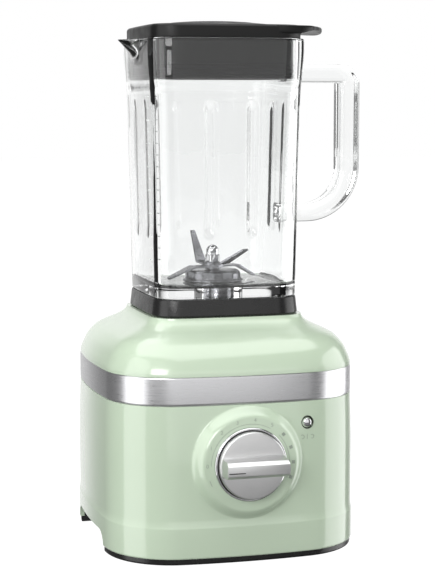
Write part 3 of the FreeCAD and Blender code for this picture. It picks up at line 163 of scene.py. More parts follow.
def plan(half_x, half_y, corner, bow, z):
    """Ring of points: four long shallow arcs and four tangent corners, from the front's middle."""
    front = Vector((0, bow - half_y))
    side = Vector((half_x - bow, 0))
    reach = bow - corner
    middle = (front + side) / 2
    along = (front - side).normalized()
    across = Vector((along.y, -along.x))
    centre = middle + across * math.sqrt(reach ** 2 - ((front - side).length / 2) ** 2)
    from_front = centre - front
    from_side = centre - side
    start = math.atan2(from_front.y, from_front.x)
    end = math.atan2(from_side.y, from_side.x)
    quarter = []
    for i in range(HALF_SIDE):
        a = -math.pi / 2 + (start + math.pi / 2) * i / HALF_SIDE
        quarter.append((front.x + bow * math.cos(a), front.y + bow * math.sin(a)))
    for i in range(CORNER_STEPS):
        a = start + (end - start) * i / CORNER_STEPS
        quarter.append((centre.x + corner * math.cos(a), centre.y + corner * math.sin(a)))
    for i in range(HALF_SIDE + 1):
        a = end - end * i / HALF_SIDE
        quarter.append((side.x + bow * math.cos(a), side.y + bow * math.sin(a)))
    right = quarter + [(x, -y) for x, y in reversed(quarter[:-1])]
    ring = right + [(-x, y) for x, y in reversed(right[1:-1])]
    return [Vector((x, y, z)) for x, y in ring]


def circle(radius, z, count):
    """Ring of points that starts at the front and runs the same way as a plan ring."""
    turn = [-math.pi / 2 + 2 * math.pi * i / count for i in range(count)]
    return [Vector((radius * math.cos(a), radius * math.sin(a), z)) for a in turn]


def round_circle(radius, z, like):
    """Circle whose points lie in the same directions as those of another ring."""
    return [Vector((p.x, p.y, 0)).normalized() * radius + Vector((0, 0, z)) for p in like]


def filleted(points, radius, steps=5):
    """Open outline of (distance, height) points with its inner corners rounded."""
    result = [points[0]]
    for before, here, after in zip(points, points[1:], points[2:]):
        p, a, b = Vector(here), Vector(before), Vector(after)
        to_a, to_b = (a - p), (b - p)
        reach = min(radius, to_a.length * 0.45, to_b.length * 0.45)
        start, end = p + to_a.normalized() * reach, p + to_b.normalized() * reach
        for i in range(steps + 1):
            t = i / steps
            result.append(tuple(start * (1 - t) ** 2 + p * 2 * t * (1 - t) + end * t ** 2))
    result.append(points[-1])
    return result


def new_object(name, data):
    made = bpy.data.objects.new(name, data)
    bpy.context.scene.collection.objects.link(made)
    return made


class Shape:
    """Vertices and faces gathered in millimetres."""

    def __init__(self):
        self.points = []
        self.faces = []

    def ring(self, points):
        first = len(self.points)
        self.points += points
        return list(range(first, first + len(points)))

    def band(self, a, b):
        """Quads between two rings of indices."""
        count = len(a)
        for i in range(count):
            j = (i + 1) % count
            self.faces.append((a[i], a[j], b[j], b[i]))

    def loft(self, rings, closed=False, cap_start=True, cap_end=True):
        rows = [self.ring(points) for points in rings]
        for a, b in zip(rows, rows[1:]):
            self.band(a, b)
        if closed:
            self.band(rows[-1], rows[0])
            return rows
        if cap_start:
            self.faces.append(tuple(reversed(rows[0])))
        if cap_end:
            self.faces.append(tuple(rows[-1]))
        return rows

    def turned(self, outline, steps, place=None, closed=False):
        """Outline of (radius, height) points turned about Z, then put in place by a matrix."""
        rows = []
        for radius, height in outline:
            if radius < 1e-6:
                rows.append([len(self.points)])
                self.points.append(Vector((0, 0, height)))
            else:
                rows.append(self.ring(circle(radius, height, steps)))
        if place is not None:
            for row in rows:
                for index in row:
                    self.points[index] = place @ self.points[index]
        pairs = list(zip(rows, rows[1:]))
        if closed:
            pairs.append((rows[-1], rows[0]))
        for a, b in pairs:
            if len(a) == 1:
                self.faces += [(a[0], b[(i + 1) % steps], b[i]) for i in range(steps)]
            elif len(b) == 1:
                self.faces += [(a[i], a[(i + 1) % steps], b[0]) for i in range(steps)]
            else:
                self.band(a, b)

    def box(self, low, high, place=None):
        x0, y0, z0 = low
        x1, y1, z1 = high
        corners = [Vector(c) for c in ((x0, y0, z0), (x1, y0, z0), (x1, y1, z0), (x0, y1, z0),
                                       (x0, y0, z1), (x1, y0, z1), (x1, y1, z1), (x0, y1, z1))]
        if place is not None:
            corners = [place @ c for c in corners]
        first = len(self.points)
        self.points += corners
        for face in ((0, 3, 2, 1), (4, 5, 6, 7), (0, 1, 5, 4), (1, 2, 6, 5), (2, 3, 7, 6), (3, 0, 4, 7)):
            self.faces.append(tuple(first + i for i in face))

    def object(self, name):
        mesh = bpy.data.meshes.new(name)
        mesh.from_pydata([tuple(p * MM) for p in self.points], [], self.faces)
        made = new_object(name, mesh)
        clean(made)
        return made


def clean(made):
    """Merges doubled points and turns every face outwards."""
    work = bmesh.new()
    work.from_mesh(made.data)
    bmesh.ops.remove_doubles(work, verts=work.verts, dist=0.00001)
    bmesh.ops.recalc_face_normals(work, faces=work.faces)
    work.to_mesh(made.data)
    work.free()


def smooth(made, degrees=35.0):
    made.data.shade_smooth()
    made.data.set_sharp_from_angle(angle=math.radians(degrees))


def carve(made, cutter, operation="DIFFERENCE"):
    """Cuts one mesh with another, or joins them, and throws the cutter away."""
    modifier = made.modifiers.new("carve", "BOOLEAN")
    modifier.object = cutter
    modifier.operation = operation
    modifier.solver = "EXACT"
    bake(made)
    bpy.data.objects.remove(cutter)


def bake(made):
    """Applies the object's modifiers."""
    depsgraph = bpy.context.evaluated_depsgraph_get()
    result = bpy.data.meshes.new_from_object(made.evaluated_get(depsgraph))
    old = made.data
    made.modifiers.clear()
    made.data = result
    result.name = made.name
    bpy.data.meshes.remove(old)


def bevelled(made, width_mm, segments=3, degrees=40.0):
    modifier = made.modifiers.new("edges", "BEVEL")
    modifier.width = width_mm * MM
    modifier.segments = segments
    modifier.limit_method = "ANGLE"
    modifier.angle_limit = math.radians(degrees)
    bake(made)


def finish_piece(made, body, slot, replaces=(), degrees=35.0, material=None):
    """Smooth shading, one material (the slot's own unless one is given), its body, and hiding the CAD nodes
    that it stands for.
    """
    material = material or finishes()[slot]
    smooth(made, degrees)
    made.data.materials.clear()
    made.data.materials.append(material)
    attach(made, body)
    if replaces:
        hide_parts(*replaces)
    return made


def facing_front(x, y, z):
    """Puts a shape turned about Z on an axis that comes out of the front, at a point."""
    return Matrix.Translation((x, y, z)) @ Matrix.Rotation(math.radians(90), 4, "X")


# ---- Materials --------------------------------------------------------------------------

def feed(tree, node, inputs):
    """Gives a node's sockets their values, or links them to other nodes' sockets."""
    for name, value in inputs.items():
        socket = node.inputs[name]
        if isinstance(value, bpy.types.NodeSocket):
            tree.links.new(value, socket)
        else:
            socket.default_value = value


def add(tree, kind, inputs=None, **settings):
    """Adds a node, with its settings and what goes into its sockets."""
    node = tree.nodes.new(kind)
    for name, value in settings.items():
        setattr(node, name, value)
    feed(tree, node, inputs or {})
    return node


def per_mm(size_mm):
    """Texture scale that gives features of a real size, for coordinates in metres."""
    return 1.0 / (size_mm * MM)


def new_material(name):
    material = bpy.data.materials.get(name)
    if material:
        return material, None, None, None
    material = bpy.data.materials.new(name)
    material.use_nodes = True
    tree = material.node_tree
    shader = tree.nodes["Principled BSDF"]
    place = add(tree, "ShaderNodeTexCoord").outputs["Object"]
    return material, tree, shader, place


def shade(colour, factor):
    return tuple(min(1.0, c * factor) for c in colour[:3]) + (1.0,)


def noise(tree, place, size_mm, detail, **more):
    inputs = {"Vector": place, "Scale": per_mm(size_mm), "Detail": detail}
    inputs.update(more)
    return add(tree, "ShaderNodeTexNoise", inputs).outputs[0]


def blend(tree, share, first, second):
    return add(tree, "ShaderNodeMix", {0: share, 6: first, 7: second}, data_type="RGBA").outputs[2]


def mottled(tree, place, colour, spread, size_mm):
    """Colour that drifts a little either side of its value."""
    drift = noise(tree, place, size_mm, 3.0)
    return blend(tree, drift, shade(colour, 1 - spread), shade(colour, 1 + spread))


def spread_over(tree, value, start, end, low, high):
    return add(tree, "ShaderNodeMapRange", {0: value, 1: start, 2: end, 3: low, 4: high}).outputs[0]


def worn_roughness(tree, place, low, high, size_mm):
    return spread_over(tree, noise(tree, place, size_mm, 4.0), 0.3, 0.7, low, high)


def raised(tree, height, depth_mm):
    return add(tree, "ShaderNodeBump",
               {"Height": height, "Distance": depth_mm * MM, "Strength": 1.0}).outputs[0]


def baked_enamel(colour):
    """Powder enamel baked on a casting: glossy, with a faint orange-peel that softens reflections."""
    material, tree, shader, place = new_material("baked_enamel")
    if tree is None:
        return material
    feed(tree, shader, {"Base Color": mottled(tree, place, colour, 0.012, 35.0),
                        "Roughness": worn_roughness(tree, place, 0.20, 0.27, 18.0),
                        "Normal": raised(tree, noise(tree, place, 2.2, 1.0), 0.012),
                        "Coat Weight": 0.8, "Coat Roughness": 0.035, "IOR": 1.5})
    return material


def brushed_steel(colour, name="brushed_stainless_steel", rough=(0.24, 0.36), squeeze=(0.02, 0.02, 1.0)):
    """Stainless steel brushed one way: fine lines that stretch each highlight across them."""
    material, tree, shader, place = new_material(name)
    if tree is None:
        return material
    stretch = add(tree, "ShaderNodeMapping", {"Vector": place, "Scale": squeeze}).outputs[0]
    # real lines are about 0.1 mm apart, and are drawn at 0.35 mm so that they show
    lines = noise(tree, stretch, 0.35, 5.0, Roughness=0.65)
    feed(tree, shader, {"Base Color": blend(tree, lines, shade(colour, 0.90), shade(colour, 1.06)),
                        "Roughness": spread_over(tree, lines, 0.25, 0.75, *rough),
                        "Normal": raised(tree, lines, 0.012), "Metallic": 1.0})
    return material


def satin_metal(colour, name, low, high, grain_mm=0.6, depth_mm=0.008):
    """Die-cast, turned or plated metal with a fine even skin."""
    material, tree, shader, place = new_material(name)
    if tree is None:
        return material
    feed(tree, shader, {"Base Color": mottled(tree, place, colour, 0.03, 6.0),
                        "Roughness": worn_roughness(tree, place, low, high, 4.0),
                        "Normal": raised(tree, noise(tree, place, grain_mm, 2.0), depth_mm),
                        "Metallic": 1.0})
    return material


def moulded_plastic(colour, name, low=0.30, high=0.42, grain_mm=0.7, depth_mm=0.02, gloss=0.5):
    """Injection-moulded plastic from a spark-eroded tool: a fine even grain on a satin skin."""
    material, tree, shader, place = new_material(name)
    if tree is None:
        return material
    grain = add(tree, "ShaderNodeTexVoronoi", {"Vector": place, "Scale": per_mm(grain_mm)}).outputs[0]
    feed(tree, shader, {"Base Color": mottled(tree, place, colour, 0.06, 12.0),
                        "Roughness": worn_roughness(tree, place, low, high, 9.0),
                        "Normal": raised(tree, grain, depth_mm), "IOR": 1.5, "Specular IOR Level": gloss})
    return material


def moulded_rubber(colour, name):
    """Silicone rubber: matt, slightly dusty, with a soft sheen at grazing angles."""
    material, tree, shader, place = new_material(name)
    if tree is None:
        return material
    feed(tree, shader, {"Base Color": mottled(tree, place, colour, 0.12, 5.0),
                        "Roughness": worn_roughness(tree, place, 0.55, 0.75, 6.0),
                        "Normal": raised(tree, noise(tree, place, 0.5, 2.0), 0.015),
                        "Sheen Weight": 0.15, "IOR": 1.42})
    return material


def pressed_glass():
    """Clear soda-lime glass pressed in a mould: polished, with the faint waves a mould leaves."""
    material, tree, shader, place = new_material("pressed_soda_lime_glass")
    if tree is None:
        return material
    wave = noise(tree, place, 30.0, 2.0)
    feed(tree, shader, {"Normal": raised(tree, wave, 0.10),
                        "Base Color": blend(tree, wave, (0.925, 0.935, 0.932, 1), (0.95, 0.957, 0.955, 1)),
                        "Roughness": 0.0, "IOR": 1.52, "Transmission Weight": 1.0})
    return material


def banded(tree, place, scale_mm, distortion, direction):
    """Waves across a piece; they lie about a third of their scale apart."""
    return add(tree, "ShaderNodeTexWave",
               {"Vector": place, "Scale": per_mm(scale_mm), "Distortion": distortion},
               bands_direction=direction).outputs[0]


def laminated_steel():
    """Stack of punched electrical steel sheets: a line at each sheet's edge, under a thin varnish."""
    material, tree, shader, place = new_material("laminated_electrical_steel")
    if tree is None:
        return material
    # sheets are 0.5 mm thick, and are drawn about 6 mm apart so that they show
    sheets = banded(tree, place, 20.0, 0.4, "Z")
    feed(tree, shader, {"Base Color": blend(tree, sheets, (0.09, 0.09, 0.10, 1), (0.30, 0.30, 0.31, 1)),
                        "Normal": raised(tree, sheets, 0.1), "Metallic": 0.8, "Roughness": 0.5})
    return material


def enamelled_copper():
    """Copper wire in clear red-brown enamel, wound side by side."""
    material, tree, shader, place = new_material("enamelled_copper_wire")
    if tree is None:
        return material
    turns = banded(tree, place, 16.0, 1.2, "DIAGONAL")
    feed(tree, shader, {"Base Color": blend(tree, turns, (0.16, 0.04, 0.015, 1), (0.66, 0.25, 0.10, 1)),
                        "Normal": raised(tree, turns, 0.25), "Metallic": 0.85, "Roughness": 0.3,
                        "Coat Weight": 0.6})
    return material


def circuit_board():
    """Glass-epoxy board under green lacquer, with the tracks just showing."""
    material, tree, shader, place = new_material("lacquered_circuit_board")
    if tree is None:
        return material
    tracks = add(tree, "ShaderNodeTexBrick",
                 {"Vector": place, "Scale": per_mm(22.0), "Color1": (0.02, 0.13, 0.05, 1),
                  "Color2": (0.03, 0.17, 0.07, 1), "Mortar": (0.05, 0.27, 0.10, 1), "Mortar Size": 0.03})
    feed(tree, shader, {"Base Color": tracks.outputs[0], "Normal": raised(tree, tracks.outputs[1], 0.05),
                        "Roughness": 0.3, "Coat Weight": 0.5})
    return material


def finishes():
    """Every material by the record's slot, made once."""
    colours = bpy.context.scene.blender_finishes
    black, lid = tuple(colours.black_plastic), tuple(colours.lid)
    return {
        "painted_steel": baked_enamel(tuple(colours.enamel)),
        "brushed_trim": brushed_steel(tuple(colours.trim)),
        "black_plastic": moulded_plastic(black, "moulded_black_nylon", 0.22, 0.32),
        "lid_plastic": moulded_plastic(lid, "moulded_black_polypropylene", 0.34, 0.46, gloss=0.3),
        "rubber": moulded_rubber(linear("#0D0D0D"), "moulded_silicone_rubber"),
        "chrome": satin_metal(linear("#DADADC"), "polished_chrome_plate", 0.05, 0.10, 3.0, 0.002),
        "knob_metal": satin_metal(tuple(colours.knob), "satin_die_cast_zinc", 0.30, 0.38),
        # the ground steel's colour is set well below real steel: painted shade standing in for the dark
        # reflections on the blades and hub
        "steel": brushed_steel(linear("#808084"), "ground_steel_darkened_as_painted_shade", (0.16, 0.30), (1.0, 0.05, 0.05)),
        "copper": enamelled_copper(),
        "bronze": satin_metal(linear("#A5824E"), "sintered_bronze", 0.40, 0.60, 0.4, 0.03),
        "laminations": laminated_steel(),
        "die_cast": satin_metal(linear("#A9A9AC"), "die_cast_aluminium", 0.38, 0.55, 0.8, 0.03),
        "board": circuit_board(),
        "glass": pressed_glass(),
        "carbon": moulded_plastic(linear("#2A2A2A"), "pressed_carbon", 0.5, 0.7, 0.4, 0.03),
    }


# ---- Base -------------------------------------------------------------------------------

def base_half(z):
    """Half width of the base's wall at a height, without its plinth."""
    top_half = BAND_HIGH.x
    foot_half = top_half + 1.0
    taper_start = 80.0
    if z <= taper_start:
        return foot_half
    share = min(1.0, (z - taper_start) / (BAND_LOW.z - taper_start))
    return foot_half - (foot_half - top_half) * share ** 1.6


def base_ring(z, proud=0.0):
    sizes = bpy.context.scene.blender_sizes
    half = base_half(z) + proud
    lean = base_half(0) - half
    return plan(half, half + DEPTH_MORE, sizes.base_corner - lean, sizes.base_bow - lean, z)


def front_wall_y(x, z):
    """Where the bowed front wall is at a point of it."""
    sizes = bpy.context.scene.blender_sizes
    half = base_half(z)
    bow = sizes.base_bow - (base_half(0) - half)
    return -(half + DEPTH_MORE) + bow - math.sqrt(bow ** 2 - x ** 2)


def plinth_rings():
    """The plinth's wall, its soft upper edge and the cove that runs up into the wall."""
    proud = HIGH.x - base_half(0) - 0.02
    top, cove = 30.2, 5.6
    profile = filleted([(proud - 0.5, PLATE_HIGH.z), (proud, PLATE_HIGH.z + 0.8), (proud, top - 1.2),
                        (proud - 0.25, top)], 0.6, 3)
    rings = [base_ring(z, offset) for offset, z in profile]
    for i in range(1, 8):
        share = i / 7
        rings.append(base_ring(top + cove * share, (proud - 0.25) * (1 - share) ** 2))
    return rings, top + cove


class CB_OT_lower_housing(bpy.types.Operator):
    """Painted lower housing: bowed walls, plinth, round dial boss and the grip arches"""
    bl_idname = "blender_pieces.lower_housing"
    bl_label = "Lower Housing"

    def execute(self, context):
        sizes = context.scene.blender_sizes
        shape = Shape()
        low_rings, wall_start = plinth_rings()
        top = BAND_LOW.z - 0.15
        levels = 34
        heights = [wall_start + (top - wall_start) * i / levels for i in range(levels + 1)]
        wall = [shape.ring(base_ring(z)) for z in heights]
        rows = [shape.ring(points) for points in low_rings[:-1]] + [wall[0]]
        for a, b in zip(rows, rows[1:]):
            shape.band(a, b)
        count = len(wall[0])
        in_front = set(list(range(HALF_SIDE)) + list(range(count - HALF_SIDE, count)))
        for a, b in zip(wall, wall[1:]):
            for i in range(count):
                if i not in in_front:
                    j = (i + 1) % count
                    shape.faces.append((a[i], a[j], b[j], b[i]))
        left, right = count - HALF_SIDE, HALF_SIDE
        border = [wall[0][i % count] for i in range(left, count + right)]
        border += [row[right] for row in wall[:-1]]
        border += [wall[-1][i % count] for i in range(count + right, left, -1)]
        border += [row[left] for row in reversed(wall[1:])]
        self.add_boss(shape, border, sizes)
        # the top edge turns in behind the band
        lip = [shape.ring(base_ring(top + 0.1, -0.3)), shape.ring(base_ring(top + 0.1, -3.0)),
               shape.ring(base_ring(PLATE_HIGH.z, -3.0))]
        shape.band(wall[-1], lip[0])
        shape.band(lip[0], lip[1])
        shape.band(lip[1], lip[2])
        shape.band(lip[2], rows[0])
        made = shape.object("enamel_lower_housing")
        carve(made, grip_arch())
        finish_piece(made, "base", "painted_steel", ["lower_housing"], 28.0)
        return {"FINISHED"}

    def add_boss(self, shape, border, sizes):
        """Spokes from the boss's middle to the border of the front wall."""
        face_y = LOW.y
        crease = 0.9
        run = sizes.boss_foot - sizes.boss_face
        radii = [14.0, 26.0, sizes.boss_face - 5, sizes.boss_face - 2, sizes.boss_face - crease]
        radii += [sizes.boss_face - crease + (run + crease) * i / 18 for i in range(1, 19)]
        def lift(radius):
            """Share of the way from the wall (0) to the boss's face (1)."""
            if radius <= sizes.boss_face - crease:
                return 1.0
            if radius >= sizes.boss_foot:
                return 0.0
            share = (radius - sizes.boss_face + crease) / (run + crease)
            return (1 - share ** 2.0) ** 1.8

        rings = []
        angles = [math.atan2(shape.points[i].z - DIAL_Z, shape.points[i].x) for i in border]
        for radius in radii:
            points = []
            for angle in angles:
                x, z = radius * math.cos(angle), DIAL_Z + radius * math.sin(angle)
                wall_y = front_wall_y(x, z)
                points.append(Vector((x, wall_y + (face_y - wall_y) * lift(radius), z)))
            rings.append(shape.ring(points))
        outer = [shape.points[i] for i in border]
        last = [shape.points[i] for i in rings[-1]]
        for step in range(1, 7):
            points = []
            for start, end in zip(last, outer):
                point = start.lerp(end, step / 7)
                point.y = front_wall_y(point.x, point.z)
                points.append(point)
            rings.append(shape.ring(points))
        rings.append(border)
        for a, b in zip(rings, rings[1:]):
            shape.band(a, b)
        shape.faces.append(tuple(reversed(rings[0])))


def grip_arch():
    """Cutter for the arches at the foot of both sides, where fingers reach under."""
    front, rear = PLATE_HIGH.y, REAR_PLATE_LOW.y
    height, corner = 17.0, 12.0
    outline = [(front, -5.0), (front, height - corner)]
    for i in range(1, 13):
        a = math.pi - math.pi / 2 * i / 12
        outline.append((front + corner + corner * math.cos(a), height - corner + corner * math.sin(a)))
    for i in range(0, 13):
        a = math.pi / 2 - math.pi / 2 * i / 12
        outline.append((rear - corner + corner * math.cos(a), height - corner + corner * math.sin(a)))
    outline.append((rear, -5.0))
    shape = Shape()
    reach = HIGH.x + 10
    shape.loft([[Vector((x, y, z)) for y, z in outline] for x in (-reach, reach)])
    return shape.object("arch_cutter")


class CB_OT_upper_housing(bpy.types.Operator):
    """Painted dome: a full shoulder that runs into a short hollow neck under the collar"""
    bl_idname = "blender_pieces.upper_housing"
    bl_label = "Upper Housing"

    def execute(self, context):
        sizes = context.scene.blender_sizes
        foot_half, bottom, top = BAND_HIGH.x - 0.1, BAND_HIGH.z + 0.1, DOME_HIGH.z
        spread = foot_half - sizes.neck_half
        # share of the height, and share of the spread still left at that height
        stations = ((0.0, 1.0), (0.08, 0.99), (0.21, 0.94), (0.40, 0.84), (0.56, 0.69), (0.65, 0.55),
                    (0.735, 0.36), (0.80, 0.21), (0.88, 0.075), (0.95, 0.015), (1.0, 0.0))
        shape = Shape()
        rings = []
        for height, left in smooth_curve(stations, 6):
            half = sizes.neck_half + left * spread
            rings.append(dome_ring(sizes, foot_half, half, bottom + height * (top - bottom)))
        hole = 24.0
        rim = dome_ring(sizes, foot_half, sizes.neck_half - 1.5, top)
        rings += [rim, round_circle(hole, top, rim), round_circle(hole, top - 3, rim),
                  dome_ring(sizes, foot_half, sizes.neck_half - 4, top - 3.2),
                  dome_ring(sizes, foot_half, foot_half - 4, bottom + 6),
                  dome_ring(sizes, foot_half, foot_half - 2, bottom)]
        shape.loft(rings, closed=True)
        made = shape.object("enamel_upper_housing")
        finish_piece(made, "base", "painted_steel", ["upper_housing"], 30.0)
        return {"FINISHED"}


def dome_ring(sizes, foot_half, half, z):
    share = (half - sizes.neck_half) / (foot_half - sizes.neck_half)
    corner = sizes.neck_corner + share * (sizes.base_corner - 1 - sizes.neck_corner)
    bow = SOFT_BOW + share * (sizes.base_bow - 1 - SOFT_BOW)
    return plan(half, half + DEPTH_MORE * max(0.0, share), corner, bow, z)


def smooth_curve(points, steps):
    """Catmull-Rom curve through (a, b) points."""
    padded = [points[0]] + list(points) + [points[-1]]
    result = []
    for p0, p1, p2, p3 in zip(padded, padded[1:], padded[2:], padded[3:]):
        for i in range(steps):
            t = i / steps
            result.append(tuple(0.5 * (2 * b + (c - a) * t + (2 * a - 5 * b + 4 * c - d) * t * t
                                       + (3 * b - a - 3 * c + d) * t ** 3)
                                for a, b, c, d in zip(p0, p1, p2, p3)))
    result.append(tuple(points[-1]))
    return result


class CB_OT_trim_band(bpy.types.Operator):
    """Brushed steel band with a turned edge above and below"""
    bl_idname = "blender_pieces.trim_band"
    bl_label = "Trim Band"

    def execute(self, context):
        sizes = context.scene.blender_sizes
        half = BAND_HIGH.x
        profile = filleted([(-1.3, BAND_LOW.z), (-0.5, BAND_LOW.z), (0.0, BAND_LOW.z + 1.6),
                            (0.0, BAND_HIGH.z - 1.0), (-0.4, BAND_HIGH.z), (-1.3, BAND_HIGH.z)], 0.5, 4)
        shape = Shape()
        shape.loft([plan(half + out, half + DEPTH_MORE + out, sizes.base_corner - 1 + out,
                         sizes.base_bow - 1 + out, z) for out, z in profile], closed=True)
        made = shape.object("brushed_trim_band")
        finish_piece(made, "base", "brushed_trim", ["trim_band"], 40.0)
        return {"FINISHED"}


class CB_OT_foot_plates(bpy.types.Operator):
    """Black foot plates ahead of the grip tunnel and behind it"""
    bl_idname = "blender_pieces.foot_plates"
    bl_label = "Foot Plates"

    def execute(self, context):
        for name, node in (("front_foot_plate", "foot_plate_front"), ("rear_foot_plate", "foot_plate_rear")):
            low, high = edges_mm(node)
            shape = Shape()
            profile = filleted([(-2.2, low.z), (-0.5, low.z), (0.0, low.z + 1.2), (0.0, high.z)], 0.8, 3)
            shape.loft([base_ring(z, out - 0.4) for out, z in profile])
            made = shape.object(name)
            cutter = Shape()
            reach = HIGH.x + 20
            if node == "foot_plate_front":
                cutter.box((-reach, high.y, -10), (reach, reach, 20))
            else:
                cutter.box((-reach, -reach, -10), (reach, low.y, 20))
            carve(made, cutter.object("plate_cutter"))
            pads = Shape()
            for x in (-70.0, 70.0):
                for y in (-82.0, 84.0):
                    pads.turned([(0, -2), (9.4, -2), (9.4, low.z + 2.8), (0, low.z + 2.8)], 48,
                                Matrix.Translation((x, y, 0)))
            carve(made, pads.object("pad_cutter"))
            finish_piece(made, "base", "black_plastic", [node])
        return {"FINISHED"}


# ---- Dial and button --------------------------------------------------------------------

class CB_OT_dial_knob(bpy.types.Operator):
    """Satin dial: a round disc with a bevelled grip bar right across it and an engraved pointer"""
    bl_idname = "blender_pieces.dial_knob"
    bl_label = "Dial Knob"

    def execute(self, context):
        sizes = context.scene.blender_sizes
        steps = context.scene.blender_studio.spokes
        dial_z = (KNOB_LOW.z + KNOB_HIGH.z) / 2
        radius = KNOB_HIGH.x
        thick = 7.2
        place = facing_front(0, KNOB_HIGH.y, dial_z)
        disc = Shape()
        disc.turned(filleted([(0, 0), (radius - 0.6, 0), (radius, 0.6), (radius, thick - 0.7),
                              (radius - 0.7, thick), (0, thick)], 0.5, 3), steps, place)
        made = disc.object("satin_dial_knob")
        bar = Shape()
        half, tall = sizes.knob_grip / 2, KNOB_HIGH.y - KNOB_LOW.y
        # outline across the bar: height off the disc, and distance from its middle
        side = filleted([(half + 1.4, thick - 1.5), (half + 0.9, thick), (half - 0.2, thick + 3.0),
                         (half - 0.6, tall - 3.4), (half - 3.2, tall - 0.05)], 1.0, 4)
        outline = side + [(-across, out) for across, out in reversed(side)]
        ends = [-radius - 2, radius + 2]
        bar.loft([[place @ Vector((x, across, out)) for across, out in outline] for x in ends])
        bar_object = bar.object("grip_bar")
        trim = Shape()
        trim.turned([(0, thick - 3), (radius - 0.7, thick - 3), (radius - 0.7, thick + 2),
                     (radius - 1.6, tall + 1), (0, tall + 1)], steps, place)
        carve(bar_object, trim.object("bar_trim"), "INTERSECT")
        bevelled(bar_object, 0.7, 3, 35.0)
        carve(made, bar_object, "UNION")
        groove = Shape()
        groove.box((-radius + 2.5, -1.9, tall - 0.55), (-radius + 15.5, -1.1, tall + 1), place)
        carve(made, groove.object("pointer_groove"))
        finish_piece(made, "dial", "knob_metal", ["dial_knob"], 32.0)
        inlay = Shape()
        inlay.box((-radius + 2.6, -1.85, tall - 0.5), (-radius + 15.4, -1.15, tall - 0.3), place)
        line = inlay.object("pointer_inlay")
        finish_piece(line, "dial", "black_plastic", ["dial_pointer"])
        return {"FINISHED"}


class CB_OT_dial_bezel(bpy.types.Operator):
    """Chrome ring round the dial, and inside it a black disc whose dark in the gap round the dial is painted
    shade
    """
    bl_idname = "blender_pieces.dial_bezel"
    bl_label = "Dial Bezel"

    def execute(self, context):
        steps = context.scene.blender_studio.spokes
        outer = RING_HIGH.x
        deep = RING_HIGH.y - RING_LOW.y
        place = facing_front(0, RING_HIGH.y, DIAL_Z)
        ring = Shape()
        inner = outer - 2.0
        profile = filleted([(inner, -0.6), (inner, deep - 0.5), (outer - 1.2, deep),
                            (outer - 0.4, deep - 0.5), (outer, 0.2), (outer, -0.6)], 0.5, 4)
        ring.turned(profile, steps, place, closed=True)
        made = ring.object("chrome_dial_ring")
        finish_piece(made, "base", "chrome", ["dial_bezel"], 40.0)
        # black disc under the dial that shows only in the narrow gap round it: painted shade for the gap's
        # shadow
        gap = Shape()
        gap.turned(filleted([(6.0, -0.4), (6.0, 0.25), (inner, 0.25), (inner, -0.4)], 0.2, 2),
                   steps, place, closed=True)
        dark = gap.object("dial_gap_painted_shade")
        finish_piece(dark, "base", "black_plastic")
        return {"FINISHED"}


def text_mesh(words, size_mm, x, z, y, tilt=0.0):
    """Flat raised figures on the front, as a mesh object."""
    curve = bpy.data.curves.new("figures", "FONT")
    curve.body = words
    curve.size = size_mm * MM
    curve.align_x = "CENTER"
    curve.align_y = "CENTER"
    curve.extrude = 0.04 * MM
    holder = new_object("figures", curve)
    turn = Matrix.Rotation(math.radians(90), 4, "X") @ Matrix.Rotation(math.radians(tilt), 4, "Z")
    holder.matrix_world = Matrix.Translation((x * MM, y * MM, z * MM)) @ turn
    bpy.context.view_layer.update()
    mesh = bpy.data.meshes.new_from_object(holder.evaluated_get(bpy.context.evaluated_depsgraph_get()))
    mesh.transform(holder.matrix_world)
    bpy.data.objects.remove(holder)
    made = new_object("figures", mesh)
    return made


def join_into(name, objects):
    """One object from several meshes that are in place already."""
    work = bmesh.new()
    for part in objects:
        work.from_mesh(part.data)
        bpy.data.objects.remove(part)
    mesh = bpy.data.meshes.new(name)
    work.to_mesh(mesh)
    work.free()
    made = new_object(name, mesh)
    return made


def arc_strip(shape, radius, width, start_deg, end_deg, place, height=0.08, steps=48):
    """Thin raised arc on a face, angles clockwise from up as the user sees them."""
    rows = []
    for i in range(steps + 1):
        a = math.radians(90 - (start_deg + (end_deg - start_deg) * i / steps))
        section = []
        for r, h in ((radius - width / 2, -0.05), (radius + width / 2, -0.05),
                     (radius + width / 2, height), (radius - width / 2, height)):
            section.append(place @ Vector((r * math.cos(a), r * math.sin(a), h)))
        rows.append(section)
    shape.loft(rows)


